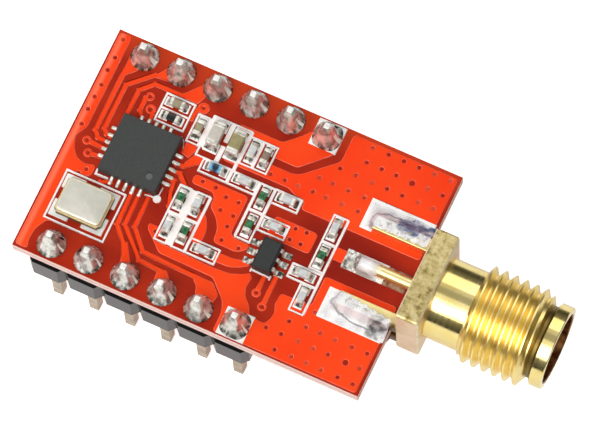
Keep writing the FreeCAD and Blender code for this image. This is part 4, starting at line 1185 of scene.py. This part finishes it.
# %% Small components
CAP_SKIN = 0.018
LARGE_CAP, SMALL_CAP, WINDING_CAP = 0.35, 0.25, 0.14
SLOPE_REACH = 0.28
BODY, CAP, SLOPE, PAD = range(4)


def small_component(node, body, cap, reach):
    """A chip component: ceramic body, two caps and two slopes of solder on their pads."""
    low, high = node_box(node)
    length, width = high[0] - low[0], high[1] - low[1]
    across = width > length
    if across:
        length, width = width, length
    centre_x, centre_y = (low[0] + high[0]) / 2, (low[1] + high[1]) / 2
    height = high[2] - low[2]

    def to_space(along, side, up_by):
        if across:
            return (centre_x - side, centre_y + along, BOARD_TOP + up_by)
        return (centre_x + along, centre_y + side, BOARD_TOP + up_by)

    def spread(low_corner, high_corner):
        first, second = to_space(*low_corner), to_space(*high_corner)
        return [min(pair) for pair in zip(first, second)], [max(pair) for pair in zip(first, second)]

    chip = Workpiece()
    half, side = length / 2, width / 2
    body_half, body_side = half - cap * 0.5, side - CAP_SKIN
    chip.block(*spread((-body_half, -body_side, 0.04), (body_half, body_side, height - CAP_SKIN)), 0.03, BODY)
    for direction in (-1, 1):
        outer, inner = direction * half, direction * (half - cap)
        left, right_side = min(outer, inner), max(outer, inner)
        chip.block(*spread((left, -side, 0.03), (right_side, side, height)), 0.055, CAP, 3)

        def towards_end(along, across_by, up_by):
            return to_space(along * direction, across_by * direction, up_by)

        hollow_slope(chip, half - 0.05, half + reach, side * 1.02, height * 0.72, towards_end, SLOPE, 1.12)
        pad_start, pad_end = sorted((direction * (half - cap - 0.05), direction * (half + reach + 0.04)))
        chip.block(*spread((pad_start, -side * 1.2, 0.0), (pad_end, side * 1.2, PAD_TOP)), 0.02, PAD)
    finishes = [CERAMICS[body], end_metal, solder, tin]
    chip.finish(f"fitted_{node}", frame_slots[node], finishes, replaces=[node], sharp_angle=50)


frame_slots = {part["node"]: part["material_slot"] for part in frame["record"]["subparts"]}
BODIES = {f"capacitor_{number}": "white" for number in range(1, 16)}
BODIES.update(capacitor_1="tan", capacitor_2="tan", capacitor_3="grey")
BODIES.update(capacitor_4="olive", capacitor_6="brown")
BODIES.update({f"inductor_{number}": "green" for number in range(1, 7)})
BODIES.update(inductor_1="blue", resistor_1="black")
for node, body in BODIES.items():
    low, high = node_box(node)
    is_large = max(high[0] - low[0], high[1] - low[1]) > 1.3
    cap = LARGE_CAP if is_large else WINDING_CAP if body == "blue" else SMALL_CAP
    small_component(node, body, cap, SLOPE_REACH)
print(len(BODIES), "small components")

# %% [markdown]
# The header strips are notched between one pin's block and the next, as the frame's own nodes are. The
# pieces here add what a mould leaves: every edge is broken, and a broken edge mirrors the dark part of
# the room, so that each block is drawn round with a dark line.

# %% Header strips
HOUSING_NOTCH = 0.4
BROKEN_EDGE = 0.13
PIN_HALF = 0.32
for row in ("front", "rear"):
    low, high = node_box(f"header_housing_{row}")
    block_pitch = (high[0] - low[0]) / 6
    near, far = [], []
    for number in range(6):
        start = low[0] + block_pitch * number
        after_notch, next_notch = start + HOUSING_NOTCH, start + block_pitch - HOUSING_NOTCH
        for x, inset in ((start, HOUSING_NOTCH), (after_notch, 0.0), (next_notch, 0.0)):
            near.append((x, low[1] + inset))
            far.append((x, high[1] - inset))
    near.append((high[0], low[1] + HOUSING_NOTCH))
    far.append((high[0], high[1] - HOUSING_NOTCH))
    ways = [
        box_shape(x - PIN_HALF, y - PIN_HALF, x + PIN_HALF, y + PIN_HALF)
        for name, (x, y) in PIN_PLACES.items() if name.startswith(row)
    ]
    strip = Workpiece()
    slab(strip, [near + far[::-1]], ways, low[2], high[2], BROKEN_EDGE, marks=(0, 0), both=True)
    strip.finish(
        f"moulded_header_{row}", frame_slots[f"header_housing_{row}"], [header_plastic],
        replaces=[f"header_housing_{row}"],
    )
print("header strips are moulded")

# %% [markdown]
# The flat chip has five pads a side, let into its lower edge. Solder wets them and runs out a little way
# on the longer lands of the board, so each ends in a bright, rounded tongue.

# %% Chip's pads
CHIP_CENTRE = ((CHIP_LOW[0] + CHIP_HIGH[0]) / 2, (CHIP_LOW[1] + CHIP_HIGH[1]) / 2)
CHIP_HALF = (CHIP_HIGH[0] - CHIP_LOW[0]) / 2
PAD_PITCH = 0.5
PAD_HALF = 0.11
TONGUE = 0.52
LAND_PROFILE = [
    (-0.4, PAD_HALF, 0.2), (-0.005, PAD_HALF, 0.2), (0.03, PAD_HALF, 0.2), (0.12, PAD_HALF + 0.01, 0.15),
    (0.28, PAD_HALF + 0.015, 0.11), (0.44, PAD_HALF + 0.01, 0.1),
]
lands = Workpiece()
for quarter in range(4):
    cosine, sine = round(math.cos(quarter * math.pi / 2)), round(math.sin(quarter * math.pi / 2))
    for number in range(5):
        offset = PAD_PITCH * (number - 2)
        wobble = chance.uniform(-0.03, 0.03)

        def to_space(along, side, up_by):
            x = CHIP_CENTRE[0] + along * cosine - (side + offset) * sine
            y = CHIP_CENTRE[1] + along * sine + (side + offset) * cosine
            return (x, y, BOARD_TOP + up_by)

        profile = [(CHIP_HALF + out, half_wide, height) for out, half_wide, height in LAND_PROFILE]
        profile.append((CHIP_HALF + TONGUE - 0.03 + wobble, PAD_HALF - 0.02, 0.07))
        profile.append((CHIP_HALF + TONGUE + wobble, PAD_HALF - 0.06, 0.0))
        rows = []
        for along, half_wide, height in profile:
            row = [to_space(along, -half_wide, 0.0)]
            for across in range(-3, 4):
                side = across / 3
                row.append(to_space(along, side * half_wide, height * (1 - 0.45 * side ** 4)))
            row.append(to_space(along, half_wide, 0.0))
            rows.append(row)
        lands.grid(rows)
        lands.add(rows[0], [list(range(len(rows[0])))[::-1]])
lands.finish(
    "chip_pads_with_solder", "tinned_copper", [end_metal], replaces=["transceiver_chip_pads"], sharp_angle=50,
)
print("20 chip pads")

# %% [markdown]
# The antenna switch stands on six thin bent leads. The leads are CAD nodes and stay. Under each foot
# goes a land with a mound of solder round the foot.

# %% Antenna switch's lands
SWITCH_LOW, SWITCH_HIGH = node_box("antenna_switch_leads")
SWITCH_CENTRE = ((SWITCH_LOW[0] + SWITCH_HIGH[0]) / 2, (SWITCH_LOW[1] + SWITCH_HIGH[1]) / 2)
SWITCH_HALF = (SWITCH_HIGH[0] - SWITCH_LOW[0]) / 2
SWITCH_PITCH = 0.65
LAND_REACH = 0.3
LAND_HALF = 0.21
mounds = Workpiece()
for way in (-1, 1):
    for number in (-1, 0, 1):
        y = SWITCH_CENTRE[1] + number * SWITCH_PITCH
        inner = SWITCH_CENTRE[0] + way * (SWITCH_HALF - LAND_REACH)
        outer = SWITCH_CENTRE[0] + way * (SWITCH_HALF + LAND_REACH)
        low = (min(inner, outer), y - LAND_HALF, BOARD_TOP)
        high = (max(inner, outer), y + LAND_HALF, BOARD_TOP + PAD_TOP)
        mounds.block(low, high, 0.03)

        def to_space(along, side, up_by):
            return (SWITCH_CENTRE[0] + way * along, y + way * side, BOARD_TOP + up_by)

        hollow_slope(mounds, SWITCH_HALF - 0.06, SWITCH_HALF + 0.27, 0.17, 0.17, to_space, 0, 1.1)
mounds.finish("switch_lands", "solder", [solder], sharp_angle=50)
print("6 switch lands")

# %% [markdown]
# The crystal's lid is drawn sheet metal: a flat, satin field inside a smooth rounded border. It is a
# stack of rounded rectangles that shrink as they rise.

# %% Crystal's lid
LID_LOW, LID_HIGH = node_box("crystal_lid")


def rounded_ring(low, high, inset, radius, height, steps=6):
    """One rounded rectangle as a ring of points."""
    left, near = (low[axis] + inset + radius for axis in (0, 1))
    right_side, far = (high[axis] - inset - radius for axis in (0, 1))
    ring = []
    for quarter, (x, y) in enumerate([(right_side, far), (left, far), (left, near), (right_side, near)]):
        for step in range(steps + 1):
            turn = math.pi / 2 * (quarter + step / steps)
            ring.append((x + radius * math.cos(turn), y + radius * math.sin(turn), height))
    return ring


lid = Workpiece()
LID_PROFILE = [
    (0.0, 0.32, 0.0), (0.0, 0.32, 0.15), (0.01, 0.31, 0.2), (0.03, 0.3, 0.235), (0.06, 0.28, 0.252),
    (0.1, 0.25, 0.258), (0.115, 0.24, 0.265), (0.125, 0.23, 0.27),
]
rings = [
    rounded_ring(LID_LOW, LID_HIGH, inset, radius, LID_LOW[2] + height)
    for inset, radius, height in LID_PROFILE
]
lid.grid(rings, 1, closed=True)
lid.add(rings[-1], [list(range(len(rings[-1])))], 0)
lid.add(rings[0], [list(range(len(rings[0])))[::-1]], 1)
lid.finish(
    "drawn_crystal_lid", "crystal_lid_metal", [lid_top, lid_edge_with_highlight], replaces=["crystal_lid"],
    sharp_angle=40, clean=0.0005,
)
print("lid is drawn")

# %% [markdown]
# Now the coaxial connector. Its barrel is turned: a plain neck, a quarter inch thread with 36 turns an
# inch, a relief groove and a plain land at the mouth. The thread is a true helix. The skin of the barrel
# is a grid of points round the axis, and a point's radius is found from where it lies in the thread's
# pitch, which depends on both its place along the axis and its turn about it. At both ends the thread
# runs out under a cone, as the die leaves it: a steep one at the neck and a gentler one at the groove.

# %% Measures of the barrel
PITCH = 25.4 / 36
CREST = 3.175
THREAD_DEPTH = 0.42
NECK = 2.65
LAND = 2.75
GROOVE = 2.4
FLANGE_FACE = FLANGE_BACK + 1.55
THREAD_START = FLANGE_FACE + 2.35
THREAD_END = THREAD_START + 4.58
FIRST_CREST = 19.7
MOUTH = CONNECTOR_HIGH[0]
RUN_IN = 0.16
RUN_OUT = 0.4
SIDES = 120
THREAD_PROFILE = [(-0.07, 0.0), (0.07, 0.0), (0.25, 0.5), (0.43, 1.0), (0.57, 1.0), (0.75, 0.5)]
MOUTH_RADIUS = 2.3
BORE_RADIUS = 2.05
INSULATOR_FACE = INSULATOR_HIGH[0]
print(f"thread pitch {PITCH:.4f} mm from {THREAD_START:.2f} to {THREAD_END:.2f} mm")

# %% Thread
def ring_at(along, radius):
    """A round ring about the connector's axis."""
    turns = [2 * math.pi * side / SIDES for side in range(SIDES)]
    return [(along, radius * math.cos(turn), AXIS_HEIGHT + radius * math.sin(turn)) for turn in turns]


def thread_skin(workpiece, mark):
    """The thread as one long strip that winds round the axis, clipped by the run-outs at its ends."""
    first_turn = int((THREAD_START - FIRST_CREST) / PITCH) - 2
    last_turn = int((THREAD_END - FIRST_CREST) / PITCH) + 2
    lines = len(THREAD_PROFILE)
    count = (last_turn - first_turn) * SIDES
    stride = count + SIDES + 1
    points = []
    for place, depth in THREAD_PROFILE:
        for index in range(stride):
            along = FIRST_CREST + (first_turn + index / SIDES + place) * PITCH
            along = min(max(along, THREAD_START), THREAD_END)
            radius = CREST - THREAD_DEPTH * depth
            radius = min(radius, NECK + (CREST - NECK) * (along - THREAD_START) / RUN_IN)
            radius = min(radius, GROOVE + (CREST - GROOVE) * (THREAD_END - along) / RUN_OUT)
            turn = 2 * math.pi * (index % SIDES) / SIDES
            points.append((along, radius * math.cos(turn), AXIS_HEIGHT + radius * math.sin(turn)))
    faces = []
    for line in range(lines):
        for index in range(count):
            here = line * stride + index
            after = here + stride if line < lines - 1 else index + SIDES
            corners = [here, here + 1, after + 1, after]
            places = {round(points[corner][0], 5) for corner in corners}
            if len(places) > 1:
                faces.append(corners)
    workpiece.add(points, faces, mark)
    return len(faces)


print(len(THREAD_PROFILE), "lines wind round the thread")

# %% Connector's barrel
NECK_PROFILE = [
    (FLANGE_FACE - 0.02, NECK), (FLANGE_FACE + 0.7, NECK), (THREAD_START - 0.06, NECK), (THREAD_START, NECK),
]
MOUTH_PROFILE = [
    (THREAD_END, GROOVE), (THREAD_END + 0.2, GROOVE), (THREAD_END + 0.36, LAND - 0.04),
    (THREAD_END + 0.38, LAND), (MOUTH - 0.05, LAND), (MOUTH - 0.01, LAND - 0.03), (MOUTH, LAND - 0.06),
    (MOUTH, MOUTH_RADIUS + 0.06), (MOUTH - 0.06, MOUTH_RADIUS), (INSULATOR_FACE + 0.02, MOUTH_RADIUS),
    (INSULATOR_FACE, MOUTH_RADIUS - 0.02), (INSULATOR_FACE, BORE_RADIUS), (INSULATOR_FACE - 1.0, BORE_RADIUS),
]
TURNED, MILLED, ROLLED, MOUTH_SHADE, DRAWN, GROOVE_SHADE, BROKEN = range(7)
connector = Workpiece()
neck = [ring_at(along, radius)[::-1] for along, radius in NECK_PROFILE]
mouth = [ring_at(along, radius)[::-1] for along, radius in MOUTH_PROFILE]
connector.grid(neck, TURNED, closed=True)
print("thread faces:", thread_skin(connector, ROLLED))
connector.grid(mouth[:3], GROOVE_SHADE, closed=True)
connector.grid(mouth[2:8], TURNED, closed=True)
connector.grid(mouth[7:], MOUTH_SHADE, closed=True)

# %% [markdown]
# Behind the barrel is the square flange, and from its back four legs straddle the end of the board. The
# flange is milled from the same bar: a rounded square with a hole for the insulator, whose broken edges
# carry a painted highlight. They are found as the narrow faces that lie slanted to the axis. Each leg
# is a rounded block.

# %% Flange and legs
FLANGE_HALF = 3.175
FLANGE_CORNER = 0.25
FLANGE_EDGE = 0.1
LEAST_SLANT = 0.01
LEG_INNER, LEG_OUTER, LEG_LENGTH, LEG_THICK = 2.23, 3.13, 4.1, 0.9


def across_axis(side, height, along):
    """From a drawing that looks along the axis to its place in the scene."""
    return (along, side, AXIS_HEIGHT + height)


before_flange = len(connector.faces)
slab(
    connector, [box_shape(-FLANGE_HALF, -FLANGE_HALF, FLANGE_HALF, FLANGE_HALF, FLANGE_CORNER)],
    [disc(0, 0, BORE_RADIUS, 60)], FLANGE_BACK, FLANGE_FACE, FLANGE_EDGE, across_axis,
    marks=(MILLED, MILLED), both=True,
)
for place in range(before_flange, len(connector.faces)):
    along = [connector.points[index][0] for index in connector.faces[place]]
    if LEAST_SLANT < max(along) - min(along) < FLANGE_EDGE:
        connector.marks[place] = BROKEN
for side in (-1, 1):
    for base, top in ((BOARD_TOP, BOARD_TOP + LEG_THICK), (BOARD_BOTTOM - LEG_THICK, BOARD_BOTTOM)):
        inner, outer = sorted((side * LEG_INNER, side * LEG_OUTER))
        tip, root = FLANGE_BACK - LEG_LENGTH, FLANGE_BACK + 0.1
        connector.block((tip, inner, base), (root, outer, top), 0.07, DRAWN, 3)
connector.finish(
    "turned_coax_connector", "gold_plated_brass",
    [turned_gold, milled_gold, rolled_gold, mouth_painted_shade, drawn_gold, groove_painted_shade, edge_highlight_gold],
    replaces=["coax_connector_body"], sharp_angle=30, clean=0.0005,
)
print("connector:", len(connector.faces), "faces")

# %% [markdown]
# The legs and the centre pin are soldered to their pads. The solder over each leg is a thin uneven skin
# on its top that falls away in a hollow slope to the pad on the outer side, and leaves the inner edge of
# the gold bare and ragged. It is a height over a grid, with seeded waves. On the front leg the skin is
# thinner and leaves more gold towards the flange.

# %% Unevenness of cooled solder
def waves(x, y, seed):
    """Slow unevenness of cooled solder, from minus one to one."""
    return (
        math.sin(2.1 * x + seed) * math.cos(2.7 * y - seed * 0.7) * 0.5
        + math.sin(4.3 * x - 1.7 * y + seed * 1.9) * 0.3 + math.sin(9.1 * x + 5.2 * y + seed * 2.3) * 0.2
    )


print("solder can be uneven")

# %% Solder on the connector's legs
SKIN = 0.07
THIN_SKIN = (0.07, 0.55, 4.0)
FULL_SKIN = (0.15, 0.03, 1.9)


def leg_solder(side, level, way, seed, edge, bare, hollow):
    """Rows of points of the skin and slope of solder on one leg. Level is the board's face, way is up or
    down, edge and bare are how much of the leg's top stays gold at its tip and more at the flange, and
    hollow is how steeply the slope falls."""
    columns, lines = 56, 40
    tip_x = FLANGE_BACK - LEG_LENGTH
    start_x, end_x = tip_x - 0.75, BOARD_HIGH[0] - 0.03
    rows = []
    for column in range(columns + 1):
        x = start_x + (end_x - start_x) * column / columns
        on_leg = max(0.0, x - tip_x)
        ragged = 0.05 * math.sin(x * 11 + seed) + 0.045 * math.sin(x * 27 + seed * 3) * min(1.0, on_leg)
        inner = LEG_INNER + edge + bare * max(0.0, on_leg - 0.5) / 3.6 + ragged * min(1.0, on_leg)
        outer = LEG_OUTER + 1.0 + 0.04 * math.sin(x * 3 + seed)
        row = []
        for line in range(lines + 1):
            part = line / lines
            y = inner + (outer - inner) * part
            across = max(0.0, (y - LEG_OUTER + 0.02) / (outer - LEG_OUTER + 0.02))
            along = max(0.0, (tip_x + 0.02 - x) / (tip_x - start_x))
            fall = min(1.0, math.hypot(across, along))
            crest = LEG_THICK + SKIN + 0.03 * waves(x, y, seed)
            ripple = 0.015 * waves(x * 1.3, y * 1.3, seed + 2) * fall
            height = SKIN + (crest - SKIN) * (1 - fall) ** hollow + ripple
            if line == 0:
                height = LEG_THICK - 0.01 if x >= tip_x else 0.03
            if line == lines or column == 0:
                height = 0.03
            row.append((x, side * y, level + way * height))
        rows.append(row)
    return [row[::-1] for row in rows] if side * way < 0 else rows


ground = Workpiece()
for side in (-1, 1):
    for level, way in ((BOARD_TOP, 1), (BOARD_BOTTOM, -1)):
        edge, bare, hollow = THIN_SKIN if (side, way) == (-1, 1) else FULL_SKIN
        seed = 1.3 + side * 0.8 + way * 2.1
        ground.grid(leg_solder(side, level, way, seed, edge, bare, hollow))
ground.finish(
    "solder_over_legs", "solder", [wetted_solder], replaces=["connector_ground_solder"], sharp_angle=70,
)
print("legs are soldered")

# %% [markdown]
# The centre pin lies on its own pad. Solder covers the pad's bare end in a thin, rough skin full of flux,
# closes over the pin's tip and runs along both of its sides until it thins away on the gold.

# %% Solder on the centre pin
fluxed_solder = plain_finish(
    "rough_solder_with_flux", 0.9, 0.4, 0.22, [(0.34, "#77726A"), (0.48, "#C4BFB6"), (0.62, "#FCFCF8")], 4.0,
    (0.25, 0.09, 0.9, 3.0),
)
PIN_RADIUS = 0.4
PIN_TIP = CONTACT_LOW[0]
PAD_END = 10.68
SLEEVE_END = PIN_TIP + 1.7
PAD_SIDE = 0.64


def eased(value):
    """A value from nought to one with soft ends."""
    value = min(1.0, max(0.0, value))
    return value * value * (3 - 2 * value)


def pin_solder_height(x, y):
    """How high the solder stands over the board at one place."""
    closing = eased((x - PIN_TIP + 0.5) / 0.55)
    thinning = eased((SLEEVE_END - x) / 1.1)
    skin = 0.085 + 0.03 * waves(x * 2.2, y * 3.1, 4.0)
    hug = PIN_RADIUS + 0.05 * thinning - 0.02
    crown = PIN_RADIUS + math.sqrt(hug * hug - y * y) if abs(y) < hug else 0.0
    flank = skin + 0.5 * thinning * max(0.0, 1 - max(0.0, abs(y) - 0.3) / 0.34) ** 1.6
    covered = max(crown, flank) + 0.012 * waves(x * 3, y * 3, 1.0)
    return skin + (covered - skin) * closing


COLUMNS, LINES, ROUGH_COLUMNS = 60, 44, 22
rows = []
for column in range(COLUMNS + 1):
    x = PAD_END + (SLEEVE_END - PAD_END) * column / COLUMNS
    row = [(x, -PAD_SIDE - 0.01, BOARD_TOP)]
    for line in range(LINES + 1):
        y = PAD_SIDE * (-1 + 2 * line / LINES)
        height = pin_solder_height(x, y) if 0 < column else PAD_TOP
        row.append((x, y, BOARD_TOP + height))
    row.append((x, PAD_SIDE + 0.01, BOARD_TOP))
    rows.append(row)
sleeve = Workpiece()
sleeve.grid(rows[:ROUGH_COLUMNS + 1], 1)
sleeve.grid(rows[ROUGH_COLUMNS:], 0)
sleeve.finish(
    "solder_on_centre_pin", "solder", [wetted_solder, fluxed_solder], replaces=["connector_signal_solder"],
    sharp_angle=80, clean=0.0005,
)
print("centre pin is soldered")

# %% [markdown]
# The nodes that keep their CAD shape get their materials. Their mesh stays as it is: only the material
# in its slot is exchanged.

# %% Materials on the carried-over nodes
def dress(node, material):
    """A material on a CAD node."""
    mesh = frame["nodes"][node].data
    mesh.materials.clear()
    mesh.materials.append(material)


KEPT_NODES = {
    "circuit_board": board_mask, "transceiver_chip_body": moulding, "antenna_switch_body": switch_moulding,
    "antenna_switch_leads": end_metal, "crystal_base": package, "coax_connector_insulator": ptfe,
    "coax_connector_contact": drawn_gold,
}
KEPT_NODES.update({f"header_pin_{name}": pin_metal for name in PIN_PLACES})
for node, material in KEPT_NODES.items():
    dress(node, material)
print(len(KEPT_NODES), "carried-over nodes are dressed")

# %% [markdown]
# The table lies on the plane of the pins' tips. It is a white sheet, and grey beyond the sheet's rear and
# right edges, so that metal has something dark to mirror there. The edges are outside the view. To the
# camera the table adds enough white of its own for the background to come out white, and it still keeps a
# soft shadow of the module. A little of that white also shows in what metal mirrors.

# %% Floor
FLOOR_HEIGHT = CAD_BOX[0][2]
FLOOR_HALF = 0.9
mesh = bpy.data.meshes.new("white_table")
mesh.from_pydata(
    [(x * FLOOR_HALF, y * FLOOR_HALF, FLOOR_HEIGHT) for x, y in ((-1, -1), (1, -1), (1, 1), (-1, 1))],
    [], [(0, 1, 2, 3)],
)
floor = bpy.data.objects.new("white_table", mesh)
bpy.context.collection.objects.link(floor)
print("the table lies at", FLOOR_HEIGHT, "m")

# %% Paper on the floor
SHEET_REAR = (0.045, 0.08)
SHEET_RIGHT = (0.06, 0.1)
GLOW_BEYOND, GLOW_ON_SHEET = 0.97, 0.75
MIRRORED_SHARE = 0.12
paper, tree, shader = start_material("white_paper", "#F0F0F0", 0.0, 0.9)
place = add_node(tree, "ShaderNodeTexCoord").outputs["Object"]
place = add_node(tree, "ShaderNodeSeparateXYZ", links={"Vector": place})
near = add_node(
    tree, "ShaderNodeMapRange",
    {"From Min": SHEET_REAR[0], "From Max": SHEET_REAR[1], "To Min": 1.0, "To Max": 0.0},
    {"Value": place.outputs["Y"]},
).outputs["Result"]
left = add_node(
    tree, "ShaderNodeMapRange",
    {"From Min": SHEET_RIGHT[0], "From Max": SHEET_RIGHT[1], "To Min": 1.0, "To Max": 0.0},
    {"Value": place.outputs["X"]},
).outputs["Result"]
sheet = add_node(tree, "ShaderNodeMath", {"operation": "MULTIPLY"}, {0: near, 1: left}).outputs["Value"]
tone = add_node(tree, "ShaderNodeValToRGB", {"stops": [(0.0, "#5A5A5A"), (1.0, "#F0F0F0")]}, {"Fac": sheet})
tree.links.new(tone.outputs["Color"], shader.inputs["Base Color"])
path = add_node(tree, "ShaderNodeLightPath")
seen = add_node(
    tree, "ShaderNodeMath", {"operation": "ADD", "use_clamp": True},
    {0: path.outputs["Is Camera Ray"], 1: path.outputs["Is Transmission Ray"]},
).outputs["Value"]
to_eye = add_node(
    tree, "ShaderNodeMapRange", {"To Min": GLOW_BEYOND, "To Max": GLOW_ON_SHEET}, {"Value": sheet},
).outputs["Result"]
seen = add_node(tree, "ShaderNodeMath", {"operation": "MULTIPLY"}, {0: seen, 1: to_eye}).outputs["Value"]
in_metal = {0: path.outputs["Is Glossy Ray"], 1: sheet}
mirrored = add_node(tree, "ShaderNodeMath", {"operation": "MULTIPLY"}, in_metal).outputs["Value"]
mirrored = add_node(
    tree, "ShaderNodeMath", {"operation": "MULTIPLY", 1: MIRRORED_SHARE}, {0: mirrored},
).outputs["Value"]
glow = add_node(tree, "ShaderNodeMath", {"operation": "ADD"}, {0: seen, 1: mirrored}).outputs["Value"]
shader.inputs["Emission Color"].default_value = linear("#FFFFFF")
tree.links.new(glow, shader.inputs["Emission Strength"])
mesh.materials.append(paper)
print("on the table lies", paper.name)

# %% [markdown]
# Metal looks like what it mirrors, so the light has to have dark places as well as bright ones. Two long
# soft boxes hang over the table, one towards the rear and one towards the front, each with a hotter
# centre. A weak one hangs nearly overhead beside the front one, a weaker one softens the rear one's edge,
# and a dark gap stays between them. The room is dim and gets darker towards the horizon, and to the
# camera it is plain white.

# %% Soft boxes
LAMP_DISTANCE = 0.3
LAMP_LENGTH = 0.48
LAMP_SHIFT = -0.14


def soft_box(name, low_tilt, high_tilt, brightness):
    """A long lamp over the table, between two tilts from the vertical towards the rear, in degrees."""
    middle = math.radians(low_tilt + high_tilt) / 2
    half = math.radians(high_tilt - low_tilt) / 2
    lamp = bpy.data.lights.new(name, "AREA")
    lamp.shape = "RECTANGLE"
    lamp.size = LAMP_LENGTH
    lamp.size_y = 2 * LAMP_DISTANCE * math.tan(half)
    lamp.energy = brightness * math.pi * lamp.size * lamp.size_y
    lamp.color = (1.0, 0.985, 0.96)
    holder = bpy.data.objects.new(name, lamp)
    holder.location = (LAMP_SHIFT, math.sin(middle) * LAMP_DISTANCE, math.cos(middle) * LAMP_DISTANCE)
    holder.rotation_euler = (-middle, 0.0, 0.0)
    bpy.context.collection.objects.link(holder)


SOFT_BOXES = {
    "rear_soft_box": (26, 60, 1.2), "rear_hot_centre": (31, 55, 0.6), "front_soft_box": (-57, -20, 2.2),
    "front_hot_centre": (-50, -28, 1.6), "top_soft_box": (-20, -6, 0.6), "gap_light": (13, 28, 0.25),
}
for name, (low_tilt, high_tilt, brightness) in SOFT_BOXES.items():
    soft_box(name, low_tilt, high_tilt, brightness)
print(len(SOFT_BOXES), "soft boxes")

# %% Dim room
world = bpy.data.worlds.new("dim_room")
bpy.context.scene.world = world
world.use_nodes = True
tree = world.node_tree
background = tree.nodes["Background"]
direction = add_node(tree, "ShaderNodeTexCoord").outputs["Generated"]
height = add_node(tree, "ShaderNodeSeparateXYZ", links={"Vector": direction}).outputs["Z"]
dimmed = {"From Min": 0.1, "From Max": 0.9, "To Min": 0.06, "To Max": 0.4}
level = add_node(tree, "ShaderNodeMapRange", dimmed, {"Value": height}).outputs["Result"]
eye = add_node(tree, "ShaderNodeLightPath").outputs["Is Camera Ray"]
strength = add_node(tree, "ShaderNodeMix", {"data_type": "FLOAT", 3: 1.0}, {"Factor": eye, 2: level})
tree.links.new(strength.outputs[0], background.inputs["Strength"])
background.inputs["Color"].default_value = linear("#FFFFFF")
bpy.context.scene.view_settings.view_transform = "Standard"
print("room:", world.name)
